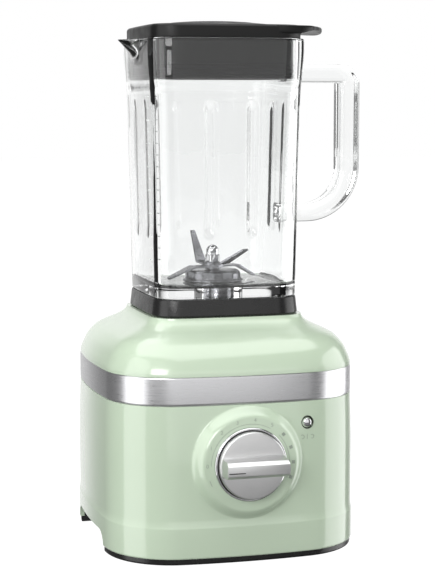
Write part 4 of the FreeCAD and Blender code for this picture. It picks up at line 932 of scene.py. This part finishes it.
class CB_OT_dial_marks(bpy.types.Operator):
    """Printed marks round the dial and under the button"""
    bl_idname = "blender_pieces.dial_marks"
    bl_label = "Dial Marks"

    def execute(self, context):
        face = LOW.y
        place = facing_front(0, face, DIAL_Z)
        marks = Shape()
        line_radius, mark_radius = 31.0, 34.0
        arc_strip(marks, line_radius, 0.35, -90, 30, place)
        arc_strip(marks, line_radius, 0.35, 46, 112, place)
        for turn in (50, 70, 90, 110):
            arc_strip(marks, mark_radius, 2.6, turn - 2.2, turn + 2.2, place, 0.06, 6)
        arc_strip(marks, mark_radius, 0.5, -117, -109, place)
        parts = [marks.object("arcs")]
        for words, turn in (("0", -90), ("1", -66), ("2", -42), ("3", -18), ("4", 6), ("5", 30)):
            a = math.radians(90 - turn)
            x, z = mark_radius * math.cos(a), DIAL_Z + mark_radius * math.sin(a)
            parts.append(text_mesh(words, 4.2, x, z, face - 0.03))
        button_x = (BUTTON_LOW.x + BUTTON_HIGH.x) / 2
        icon_z = BUTTON_LOW.z - 7.0
        wall_y = front_wall_y(button_x, icon_z)
        icons = Shape()
        for offset in (-4.0, 4.0):
            spot = facing_front(button_x + offset, front_wall_y(button_x + offset, icon_z), icon_z)
            icons.turned([(1.3, -0.05), (1.3, 0.08), (1.7, 0.08), (1.7, -0.05)], 24, spot, closed=True)
        bar = facing_front(button_x, wall_y, icon_z)
        icons.box((-0.2, -2.0, -0.1), (0.2, 2.0, 0.08), bar)
        parts.append(icons.object("icons"))
        made = join_into("printed_dial_marks", parts)
        print_colour = tuple(context.scene.blender_finishes.print_ink)
        ink = moulded_plastic(print_colour, "pad_printed_ink", 0.4, 0.5, 0.5, 0.005)
        finish_piece(made, "base", "black_plastic", material=ink)
        return {"FINISHED"}


class CB_OT_start_button(bpy.types.Operator):
    """Chrome start button in its dark ring"""
    bl_idname = "blender_pieces.start_button"
    bl_label = "Start Button"

    def execute(self, context):
        x = (BUTTON_LOW.x + BUTTON_HIGH.x) / 2
        z = (BUTTON_LOW.z + BUTTON_HIGH.z) / 2
        radius = 3.3
        tall = BUTTON_HIGH.y - BUTTON_LOW.y
        button = Shape()
        crown, shoulder = 1.1, 4.0
        dome = [(radius * math.sin(a), tall - crown + crown * math.cos(a)) for a in
                [math.pi / 2 * (1 - i / 8) for i in range(9)]]
        button.turned([(0, 0), (shoulder, 0), (shoulder, 1.0), (radius, 1.0)] + dome, 48,
                      facing_front(x, BUTTON_HIGH.y, z))
        made = button.object("chrome_start_button")
        finish_piece(made, "button", "chrome", ["start_button"])
        ring = Shape()
        outer, inner = BUTTON_RING_HIGH.x - x, radius + 0.3
        deep = BUTTON_RING_HIGH.y - BUTTON_RING_LOW.y
        profile = filleted([(inner, 0), (inner, deep - 0.7), (outer - 0.8, deep), (outer, deep - 0.5),
                            (outer, 1.2), (inner + 0.6, 1.2), (inner + 0.6, 0)], 0.4, 3)
        ring.turned(profile, 48, facing_front(x, BUTTON_RING_HIGH.y, z), closed=True)
        holder = ring.object("button_ring")
        smoked = satin_metal(linear("#4A5048"), "black_chrome_plate", 0.12, 0.2, 2.0, 0.002)
        finish_piece(holder, "base", "chrome", ["button_bezel"], material=smoked)
        return {"FINISHED"}


# ---- Jar --------------------------------------------------------------------------------

def jar_plan(half, corner, z):
    return plan(half, half, corner, SOFT_BOW, z)


def spouted(ring, start_z, reach, half_width):
    """Pushes a ring out into the pouring spout on the -X side, more the higher it lies."""
    rim_z = GLASS_HIGH.z
    result = []
    for point in ring:
        rise = (point.z - start_z) / (rim_z - start_z)
        if rise > 0 and point.x < 0 and abs(point.y) < half_width:
            across = math.cos(math.pi / 2 * point.y / half_width) ** 1.7
            point = point - Vector((reach * min(1.0, rise) ** 1.6 * across, 0, 0))
        result.append(point)
    return result


def ribbed(ring, rise, low_z, high_z):
    """Presses two blunt upright ribs into each inside wall."""
    result = []
    for point in ring:
        flat = max(abs(point.x), abs(point.y))
        along = min(abs(point.x), abs(point.y))
        end = min(point.z - low_z, high_z - point.z) / 6.0
        fade = max(0.0, min(1.0, end))
        fade = math.sqrt(1 - (1 - fade) ** 2)
        off = abs(along - 17.0) / 4.5
        if off < 1 and fade > 0:
            push = rise * fade * math.cos(math.pi / 2 * off) ** 1.3
            scale = (flat - push) / flat
            if abs(point.x) > abs(point.y):
                point = Vector((point.x * scale, point.y, point.z))
            else:
                point = Vector((point.x, point.y * scale, point.z))
        result.append(point)
    return result


def rounded_section(half_a, half_b, radius, steps=9):
    """Outline of a bar with round edges; a pair of points near each arc keeps its flats flat."""
    points = []
    for turn, (a, b) in enumerate(((1, 1), (-1, 1), (-1, -1), (1, -1))):
        centre_a, centre_b = a * (half_a - radius), b * (half_b - radius)
        for i in range(steps + 1):
            angle = math.pi / 2 * (turn + i / steps)
            points.append((centre_a + radius * math.cos(angle), centre_b + radius * math.sin(angle)))
        if turn % 2 == 0:
            points += [(centre_a - a * 0.4, b * half_b), (-centre_a + a * 0.4, b * half_b)]
        else:
            points += [(a * half_a, centre_b - b * 0.4), (a * half_a, -centre_b + b * 0.4)]
    return points


def handle_shape():
    """Glass handle: a top bar, a tight bend, the grip, and a wide bend back to the wall."""
    thick = 7.5         # from the bar's middle to its outer face
    reach = HANDLE_HIGH.x - thick
    top_z = HANDLE_HIGH.z - thick
    low_z = HANDLE_LOW.z + thick
    bend, sweep = 7.6, 38.0
    start_x = GLASS_HIGH.x - 5.0
    path = [(start_x, top_z), (GLASS_HIGH.x, top_z), (GLASS_HIGH.x + 3, top_z),
            (GLASS_HIGH.x + 8, top_z), (reach - bend - 10, top_z)]
    for i in range(13):
        a = math.pi / 2 * (1 - i / 12)
        path.append((reach - bend + bend * math.cos(a), top_z - bend + bend * math.sin(a)))
    path += [(reach, top_z - bend - 12), (reach, (top_z + low_z) / 2), (reach, low_z + sweep + 8)]
    for i in range(17):
        a = -math.pi / 2 * i / 16
        path.append((reach - sweep + sweep * math.cos(a), low_z + sweep + sweep * math.sin(a)))
    path += [(GLASS_HIGH.x + 6, low_z), (GLASS_HIGH.x + 1, low_z), (start_x - 4.0, low_z)]
    shape = Shape()
    rings = []
    for i, (x, z) in enumerate(path):
        before, after = path[max(0, i - 1)], path[min(len(path) - 1, i + 1)]
        along = Vector((after[0] - before[0], 0, after[1] - before[1])).normalized()
        across = Vector((along.z, 0, -along.x))
        near = max(0.0, 1 - abs(x - GLASS_HIGH.x + 2) / 9.0)
        grow = 1 + 0.18 * near ** 2
        limb = abs(along.z) ** 3
        ring = [Vector((x - 0.8 * limb, 0, z)) + across * out + Vector((0, side, 0))
                for out, side in rounded_section((7.4 + 0.8 * limb) * grow, 12.0 * grow, 4.6 * grow)]
        rings.append(ring)
    shape.loft(rings)
    return shape.object("handle_form")


def subdivided(outline, longest):
    """Outline of (distance, height) points with its tall steps cut into shorter ones."""
    result = []
    for (half, z), (next_half, next_z) in zip(outline, outline[1:]):
        pieces = max(1, int(abs(next_z - z) / longest))
        for i in range(pieces):
            share = i / pieces
            result.append((half + (next_half - half) * share, z + (next_z - z) * share))
    return result


class CB_OT_jar_glass(bpy.types.Operator):
    """Pressed glass jar with its spout, inside ribs, step, thick floor and handle"""
    bl_idname = "blender_pieces.jar_glass"
    bl_label = "Jar Glass"

    def execute(self, context):
        sizes = context.scene.blender_sizes
        bottom, rim = GLASS_LOW.z, GLASS_HIGH.z
        wide, body_top, body_low = GLASS_HIGH.x, JAR_TOP_HALF, JAR_LOW_HALF
        step = rim - JAR_STEP_DROP
        floor = GASKET_LOW.z
        wall, corner = sizes.jar_wall, sizes.jar_corner
        reach = -GLASS_LOW.x - wide - 0.1
        outside = filleted([(body_low - 3.5, bottom), (body_low, bottom),
                            (body_top - 0.7, step - 14)], 1.8, 5)
        outside += smooth_curve([(body_top - 0.45, step - 6), (body_top + 0.1, step + 3),
                                 (body_top + 1.0, step + 14), (wide - 0.2, step + 24)], 5)
        outside += filleted([(wide, step + 28), (wide, rim), (wide - 3.2, rim)], 1.6, 5)
        rings = []
        for half, z in subdivided(outside, 5) + [outside[-1]]:
            ring = jar_plan(half, corner + (half - body_low) * 0.4, z)
            rings.append(spouted(ring, rim - 18.0, reach, 17.0))
        inside = [(wide - 3.6, rim), (wide - wall + 0.9, rim - 0.6), (wide - wall, rim - 1.8),
                  (wide - wall, step + 8), (wide - wall - 0.3, step + 4), (body_top - wall + 0.3, step - 2),
                  (body_top - wall, step - 8), (body_low - wall + 0.2, floor + COVE)]
        inner = subdivided(inside, 2.5)
        for i in range(9):
            a = math.pi / 2 * i / 8
            inner.append((body_low - wall + 0.2 - COVE + COVE * math.cos(a),
                          floor + COVE - COVE * math.sin(a)))
        inner.append((26.0, floor))
        for half, z in inner:
            ring = jar_plan(half, max(8.0, min(half * 0.9, corner - 5.0)), z)
            ring = spouted(ring, rim - 13.0, reach + 1.2, 14.0)
            rings.append(ribbed(ring, sizes.rib_rise, floor + 42, step - 12))
        hole = HUB_HIGH.x - 5.0
        rings.append(round_circle(hole, floor, rings[-1]))
        rings.append(round_circle(hole, bottom, rings[-1]))
        shape = Shape()
        shape.loft(rings, closed=True)
        made = shape.object("pressed_glass_jar")
        carve(made, handle_shape(), "UNION")
        finish_piece(made, "jar", "glass", ["jar_glass", "jar_handle"], 30.0)
        return {"FINISHED"}


class CB_OT_graduations(bpy.types.Operator):
    """Raised ticks of the scale on the jar's spout side"""
    bl_idname = "blender_pieces.graduations"
    bl_label = "Graduations"

    def execute(self, context):
        low_z, high_z = GLASS_LOW.z + 30.0, GLASS_HIGH.z - 45.0
        shape = Shape()

        def wall_x(z):
            share = (z - GLASS_LOW.z) / (GLASS_HIGH.z - JAR_STEP_DROP - GLASS_LOW.z)
            return -(JAR_LOW_HALF + (JAR_TOP_HALF - JAR_LOW_HALF) * share) + 0.25

        ticks, start_y = 14, -40.0
        for i in range(ticks + 1):
            z = low_z + (high_z - low_z) * i / ticks
            long = 9.0 if i % 2 == 0 else 5.0
            x = wall_x(z)
            shape.box((x - 0.45, start_y, z - 0.35), (x + 0.1, start_y + long, z + 0.35))
        made = shape.object("jar_scale_ticks")
        frosted = moulded_plastic(linear("#E8ECEA"), "fired_white_glass_enamel", 0.35, 0.5, 0.4, 0.01)
        finish_piece(made, "jar", "glass", material=frosted)
        return {"FINISHED"}


class CB_OT_jar_collar(bpy.types.Operator):
    """Black moulded collar that carries the jar, flared at its foot"""
    bl_idname = "blender_pieces.jar_collar"
    bl_label = "Jar Collar"

    def execute(self, context):
        foot, head = COLLAR_HIGH.x, 58.8
        low, high = COLLAR_LOW.z, COLLAR_HIGH.z
        seat = high - 0.35
        profile = filleted([(foot - 5.5, low), (foot - 0.6, low), (foot, low + 1.0), (head + 0.2, high - 1.0),
                            (head - 0.5, high - 0.05), (head - 1.6, seat), (40.0, seat)], 0.7, 4)
        rings = [jar_plan(half, max(10.0, 22.0 - (foot - half)), z) for half, z in profile]
        hole, hollow = 20.2, 28.5
        for radius, z in ((hole, seat), (hole, high - 4), (hollow, high - 4), (hollow, low + 5.3)):
            rings.append(round_circle(radius, z, rings[0]))
        rings += [jar_plan(foot - 8.9, 14.0, z) for z in (low + 5.3, low + 0.4)]
        shape = Shape()
        shape.loft(rings, closed=True)
        made = shape.object("black_jar_collar")
        finish_piece(made, "jar", "black_plastic", ["jar_collar"], 32.0)
        return {"FINISHED"}


class CB_OT_blade_hub(bpy.types.Operator):
    """Steel blade hub: a fluted body on a flange, with a raised seat round the shaft"""
    bl_idname = "blender_pieces.blade_hub"
    bl_label = "Blade Hub"

    def execute(self, context):
        top = HUB_HIGH.z
        flange = GASKET_HIGH.z
        radius = HUB_HIGH.x - 2.0
        sleeve = radius - 3.2
        seat_radius, bore = 4.7, 8.0
        profile = filleted([(sleeve - 1.4, HUB_LOW.z), (sleeve, HUB_LOW.z), (sleeve, flange),
                            (HUB_HIGH.x, flange), (HUB_HIGH.x, flange + 1.2), (radius + 0.6, flange + 2.0),
                            (radius, flange + 2.6), (radius - 0.3, top - 2.2), (radius - 2.6, top - 0.1),
                            (7.0, top), (seat_radius, top), (seat_radius, top - 1.6), (bore, top - 1.6),
                            (bore, HUB_LOW.z + 9.0), (sleeve - 1.4, HUB_LOW.z + 9.0)], 0.6, 4)
        shape = Shape()
        shape.turned(profile, 128, closed=True)
        made = shape.object("steel_blade_hub")
        cutter = Shape()
        for i in range(8):
            turn = Matrix.Rotation(math.radians(45 * i + 20), 4, "Z")
            cutter.box((radius - 1.5, -5.0, flange + 2.8), (radius + 6, 5.0, top + 1.0), turn)
        carve(made, cutter.object("flute_cutter"))
        finish_piece(made, "jar", "steel", degrees=30.0)
        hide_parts("blade_housing")
        return {"FINISHED"}


class CB_OT_acorn_nut(bpy.types.Operator):
    """Polished acorn nut at the top of the blade stack"""
    bl_idname = "blender_pieces.acorn_nut"
    bl_label = "Acorn Nut"

    def execute(self, context):
        low, high = ACORN_LOW.z, ACORN_HIGH.z
        flats = (ACORN_HIGH.y - ACORN_LOW.y) / 2
        radius = flats - 0.4
        sixth, steps = math.radians(30), 96
        turns = [2 * math.pi * i / steps for i in range(steps)]
        corner = flats / math.cos(sixth)
        rings = []
        for scale, z in ((0.90, low), (1.0, low + 0.7), (1.0, low + 5.7), (0.93, low + 6.4)):
            ring = []
            for a in turns:
                around = (a + sixth) % (2 * sixth) - sixth
                hexagon = flats / math.cos(sixth - abs(around)) if scale == 1.0 else corner * 0.93
                distance = min(hexagon, corner * 0.985) * scale
                ring.append(Vector((distance * math.cos(a), distance * math.sin(a), z)))
            rings.append(ring)
        dome_z = high - radius
        rings.append([Vector((radius * math.cos(a), radius * math.sin(a), low + 6.6)) for a in turns])
        for j in range(1, 14):
            rise = math.pi / 2 * j / 14
            out = radius * math.cos(rise)
            rings.append([Vector((out * math.cos(a), out * math.sin(a), dome_z + radius * math.sin(rise)))
                          for a in turns])
        shape = Shape()
        shape.loft(rings)
        made = shape.object("polished_acorn_nut")
        polished = satin_metal(linear("#D4D4D6"), "polished_stainless_steel", 0.07, 0.14, 2.0, 0.002)
        finish_piece(made, "blades", "steel", ["acorn_nut"], 30.0, polished)
        return {"FINISHED"}


# ---- Lid --------------------------------------------------------------------------------

class CB_OT_lid_cover(bpy.types.Operator):
    """Black lid: a square skirt with rounded corners, a crowned top, a plug and a thumb tab"""
    bl_idname = "blender_pieces.lid_cover"
    bl_label = "Lid Cover"

    def execute(self, context):
        half, corner = (LID_HIGH.y - LID_LOW.y) / 2, LID_CORNER
        skirt, edge = GLASS_HIGH.z + 0.3, LID_SKIRT_TOP
        hole = (CAP_HIGH.x - CAP_LOW.x) / 2 + 0.4
        profile = filleted([(half - LID_WALL, skirt + 3), (half - LID_WALL, skirt), (half - 0.1, skirt),
                            (half, skirt + 0.6), (half, edge - 1.6), (half - 1.8, edge),
                            (half - 3.4, edge)], 1.1, 4)
        rings = [jar_plan(h, corner - (half - h), z) for h, z in profile]
        rim = rings[-1]
        for radius, share in ((CROWN_FOOT, 0.0), (CROWN_FOOT - 4, 0.20), (CROWN_FOOT - 9, 0.48), (45.0, 0.70),
                              (40.0, 0.88), (hole + 0.6, 0.99)):
            rings.append(round_circle(radius, edge + 0.02 + CROWN_RISE * share, rim))
        tube, tube_wall, under = 31.0, 33.8, edge - 3
        for radius, z in ((hole, edge + CROWN_RISE - 0.5), (hole, edge), (tube, edge), (tube, CAP_LOW.z + 4),
                          (tube_wall, CAP_LOW.z + 4), (tube_wall, under)):
            rings.append(round_circle(radius, z, rim))
        for inset, z in ((LID_WALL, under), (LID_WALL, SEAL_LOW.z), (0.0, SEAL_LOW.z), (0.0, under)):
            rings.append(jar_plan(SEAL_HALF - inset, PLUG_CORNER - inset, z))
        rings.append(jar_plan(half - LID_WALL, corner - LID_WALL, under))
        shape = Shape()
        shape.loft(rings, closed=True)
        made = shape.object("black_lid_cover")
        carve(made, thumb_lip(half, edge), "UNION")
        finish_piece(made, "lid", "lid_plastic", ["lid_cover"], 32.0)
        return {"FINISHED"}


def thumb_lip(half, edge):
    """Lip that swells out of the lid's side to a rounded tip, scooped underneath."""
    centre, tip = half - LID_CORNER, LID_HIGH.x - 0.05
    edge_line = [(centre + out * (tip - centre), along * half) for out, along in LIP_EDGE]
    mirrored = [(x, -y) for x, y in edge_line[::-1]]
    outline = smooth_curve(edge_line + [(tip, 0.0)] + mirrored, 6)
    shape = Shape()
    rings = []
    for inset, share, rise in ((1.6, 0, 0.0), (0.5, 0, 0.35), (0.0, 0, 1.4), (0.0, 1, -1.4), (0.5, 1, -0.35),
                               (1.6, 1, 0.0)):
        ring = []
        for i, (x, y) in enumerate(outline):
            before, after = outline[max(0, i - 1)], outline[min(len(outline) - 1, i + 1)]
            out = Vector((before[1] - after[1], after[0] - before[0], 0)).normalized()
            scoop = max(0.0, 3.0 - (x - half - 14.0) ** 2 / 112.0)
            z = edge - 0.5 if share else edge - 7.0 + scoop
            ring.append(Vector((x, y, z + rise)) + out * -inset)
        rings.append(ring)
    shape.loft(rings)
    made = shape.object("thumb_lip")
    room = Shape()
    room.loft([jar_plan(half - 1.5, 19.0, edge - 20), jar_plan(half - 1.5, 19.0, edge - 1.2)])
    carve(made, room.object("lid_room"))
    return made


class CB_OT_lid_seal(bpy.types.Operator):
    """Rubber seal round the lid's plug, with three ribs near its lower end"""
    bl_idname = "blender_pieces.lid_seal"
    bl_label = "Lid Seal"

    def execute(self, context):
        low, high = SEAL_LOW.z, SEAL_HIGH.z
        outer = (SEAL_HIGH.x - SEAL_LOW.x) / 2
        sleeve = outer - 0.6
        profile = [(SEAL_HALF + 0.05, low + 0.2), (sleeve - 0.8, low + 0.1), (sleeve, low + 0.9)]
        for i in range(3):
            base = low + 2.0 + 4.0 * i
            profile += [(sleeve, base), (outer, base + 0.5), (outer, base + 1.1), (sleeve, base + 1.6)]
        profile += [(sleeve, high - 0.5), (sleeve - 0.6, high), (SEAL_HALF + 0.05, high)]
        shape = Shape()
        shape.loft([jar_plan(half, PLUG_CORNER + half - SEAL_HALF, z)
                    for half, z in filleted(profile, 0.4, 2)], closed=True)
        made = shape.object("ribbed_lid_seal")
        finish_piece(made, "lid", "rubber", ["lid_seal"], 35.0)
        return {"FINISHED"}


class CB_OT_measuring_cap(bpy.types.Operator):
    """Measuring cap: a plain cup, mouth down, whose closed end is the middle of the lid"""
    bl_idname = "blender_pieces.measuring_cap"
    bl_label = "Measuring Cap"

    def execute(self, context):
        top, low = CAP_HIGH.z, CAP_LOW.z
        flange = (CAP_HIGH.x - CAP_LOW.x) / 2
        outer = 30.4
        profile = [(0, top - 2.5), (outer - 4.5, top - 2.5), (outer - 2.5, top - 4.5),
                   (outer - 2.4, low + 0.4), (outer - 1.8, low), (outer - 0.6, low), (outer, low + 0.7),
                   (outer, CAP_SEAT), (flange, CAP_SEAT), (flange, CAP_SEAT + 1.9),
                   (flange - 0.7, CAP_SEAT + 2.5), (flange - 9, top - 0.55), (flange - 20, top - 0.15),
                   (0, top)]
        shape = Shape()
        shape.turned(filleted(profile, 0.9, 4), context.scene.blender_studio.spokes)
        made = shape.object("black_measuring_cap")
        finish_piece(made, "cap", "lid_plastic", ["measuring_cap"], 35.0)
        return {"FINISHED"}


# ---- Inner works and studio -------------------------------------------------------------

class CB_OT_inner_works(bpy.types.Operator):
    """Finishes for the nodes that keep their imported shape: motor, board, screws and bearings"""
    bl_idname = "blender_pieces.inner_works"
    bl_label = "Inner Works"

    def execute(self, context):
        made = finishes()
        slots = {part["node"]: part["material_slot"] for part in frame["record"]["subparts"]}
        for name, node in frame["nodes"].items():
            if node.hide_render:
                continue
            node.data.materials.clear()
            node.data.materials.append(made[slots[name]])
            node.data.shade_smooth()
            node.data.set_sharp_from_angle(angle=math.radians(30))
        return {"FINISHED"}


class CB_OT_studio(bpy.types.Operator):
    """Pale floor, soft lights and the camera"""
    bl_idname = "blender_pieces.studio"
    bl_label = "Studio"

    def execute(self, context):
        settings = context.scene.blender_studio
        self.floor()
        self.world(settings)
        self.lights(settings)
        self.camera(settings)
        context.scene.view_settings.view_transform = "Standard"
        return {"FINISHED"}

    def floor(self):
        shape = Shape()
        half, drop = 9000, -0.2
        shape.points += [Vector((x * half, y * half, drop)) for x, y in ((-1, -1), (1, -1), (1, 1), (-1, 1))]
        shape.faces.append((0, 1, 2, 3))
        made = shape.object("pale_floor")
        material, tree, shader, place = new_material("matt_white_paper")
        if tree:
            feed(tree, shader, {"Base Color": mottled(tree, place, (0.2, 0.2, 0.2), 0.01, 60.0),
                                "Roughness": 1.0, "Specular IOR Level": 0.0,
                                "Emission Color": (1.0, 1.0, 1.0, 1.0), "Emission Strength": 0.98})
        made.data.materials.append(material)
        made.visible_diffuse = False
        made.visible_glossy = False
        made.visible_shadow = False

    def world(self, settings):
        """White toward the back and dim at the sides, so that the glass's edges are drawn dark."""
        world = bpy.data.worlds.new("studio")
        world.use_nodes = True
        tree = world.node_tree
        way = add(tree, "ShaderNodeTexCoord").outputs["Generated"]
        along = add(tree, "ShaderNodeSeparateXYZ", {0: way})
        side = spread_over(tree, along.outputs[0], -0.6, 0.6, settings.left_side, settings.right_side)
        toward_back = add(tree, "ShaderNodeVectorMath", {0: way, 1: (0.265, 0.964, 0.0)},
                          operation="DOT_PRODUCT").outputs["Value"]
        behind = self.eased(tree, toward_back, 0.76, 0.94, side, 1.0)
        ahead = self.eased(tree, along.outputs[1], -0.45, -0.90, 0.0, settings.front_side)
        total = add(tree, "ShaderNodeMath", {0: behind, 1: ahead}, operation="ADD").outputs[0]
        # the backdrop itself is plain white all round; only what the glass and metal gather is directional
        seen = add(tree, "ShaderNodeLightPath").outputs["Is Camera Ray"]
        plain = add(tree, "ShaderNodeMath", {0: total, 1: seen}, operation="MAXIMUM").outputs[0]
        feed(tree, tree.nodes["Background"], {0: (1.0, 1.0, 1.0, 1.0), 1: plain})
        bpy.context.scene.world = world

    def eased(self, tree, value, start, end, low, high):
        return add(tree, "ShaderNodeMapRange", {0: value, 1: start, 2: end, 3: low, 4: high},
                   interpolation_type="SMOOTHSTEP").outputs[0]

    def lights(self, settings):
        """Soft boxes: name, place, aim, width, height and brightness."""
        boxes = (("top_box", (-0.1, -0.1, 1.75), (0, 0, 0.2), 2.5, 2.2, settings.key * 0.62),
                 ("front_box", (-1.5, -2.1, 1.15), (0, 0, 0.15), 1.3, 1.3, settings.key * 1.95),
                 ("left_strip", (-1.45, -0.35, 0.30), (0, 0, 0.25), 1.10, 2.1, settings.key * 0.52),
                 ("right_strip", (1.27, -0.15, 0.10), (0, 0, 0.15), 1.25, 1.6, settings.key * 0.62),
                 ("front_fill", (0.10, -2.3, 0.50), (0, 0, 0.40), 2.2, 1.8, settings.key * 0.24))
        for name, place, aim, width, height, brightness in boxes:
            light = bpy.data.lights.new(name, "AREA")
            light.shape = "RECTANGLE"
            light.size, light.size_y = width, height
            light.energy = brightness * math.pi * width * height
            lamp = new_object(name, light)
            lamp.location = place
            lamp.rotation_euler = (Vector(aim) - Vector(place)).to_track_quat("-Z", "Y").to_euler()
            lamp.visible_camera = False
            lamp.visible_transmission = name != "front_fill"

    def camera(self, settings):
        data = bpy.data.cameras.new("camera")
        data.lens = settings.lens
        data.sensor_width = 36.0
        data.clip_end = 50.0
        eye = new_object("camera", data)
        eye.location = CAMERA_PLACE
        eye.rotation_euler = Vector(CAMERA_WAY).to_track_quat("-Z", "Y").to_euler()
        bpy.context.scene.camera = eye


# ---- Add-on -----------------------------------------------------------------------------

SETTINGS = (BlenderFinishes, BlenderSizes, BlenderStudio)
PIECES = (CB_OT_lower_housing, CB_OT_upper_housing, CB_OT_trim_band, CB_OT_foot_plates, CB_OT_dial_knob,
          CB_OT_dial_bezel, CB_OT_dial_marks, CB_OT_start_button, CB_OT_jar_glass, CB_OT_graduations,
          CB_OT_jar_collar, CB_OT_blade_hub, CB_OT_acorn_nut, CB_OT_lid_cover, CB_OT_lid_seal,
          CB_OT_measuring_cap, CB_OT_inner_works, CB_OT_studio)


class CB_PT_pieces(bpy.types.Panel):
    """Lists the operators that build the blender"""
    bl_idname = "CB_PT_pieces"
    bl_label = "Countertop Blender"
    bl_space_type = "VIEW_3D"
    bl_region_type = "UI"
    bl_category = "Countertop Blender"

    def draw(self, context):
        layout = self.layout
        scene = context.scene
        for group in (scene.blender_finishes, scene.blender_sizes, scene.blender_studio):
            column = layout.column(align=True)
            for name in group.__annotations__:
                column.prop(group, name)
        for operator in PIECES:
            layout.operator(operator.bl_idname)


def register():
    for made in SETTINGS + PIECES + (CB_PT_pieces,):
        bpy.utils.register_class(made)
    bpy.types.Scene.blender_finishes = PointerProperty(type=BlenderFinishes)
    bpy.types.Scene.blender_sizes = PointerProperty(type=BlenderSizes)
    bpy.types.Scene.blender_studio = PointerProperty(type=BlenderStudio)


def unregister():
    del bpy.types.Scene.blender_finishes
    del bpy.types.Scene.blender_sizes
    del bpy.types.Scene.blender_studio
    for made in reversed(SETTINGS + PIECES + (CB_PT_pieces,)):
        bpy.utils.unregister_class(made)


def main():
    register()
    for operator in PIECES:
        getattr(bpy.ops.blender_pieces, operator.bl_idname.split(".")[1])()


if __name__ == "__main__":
    main()
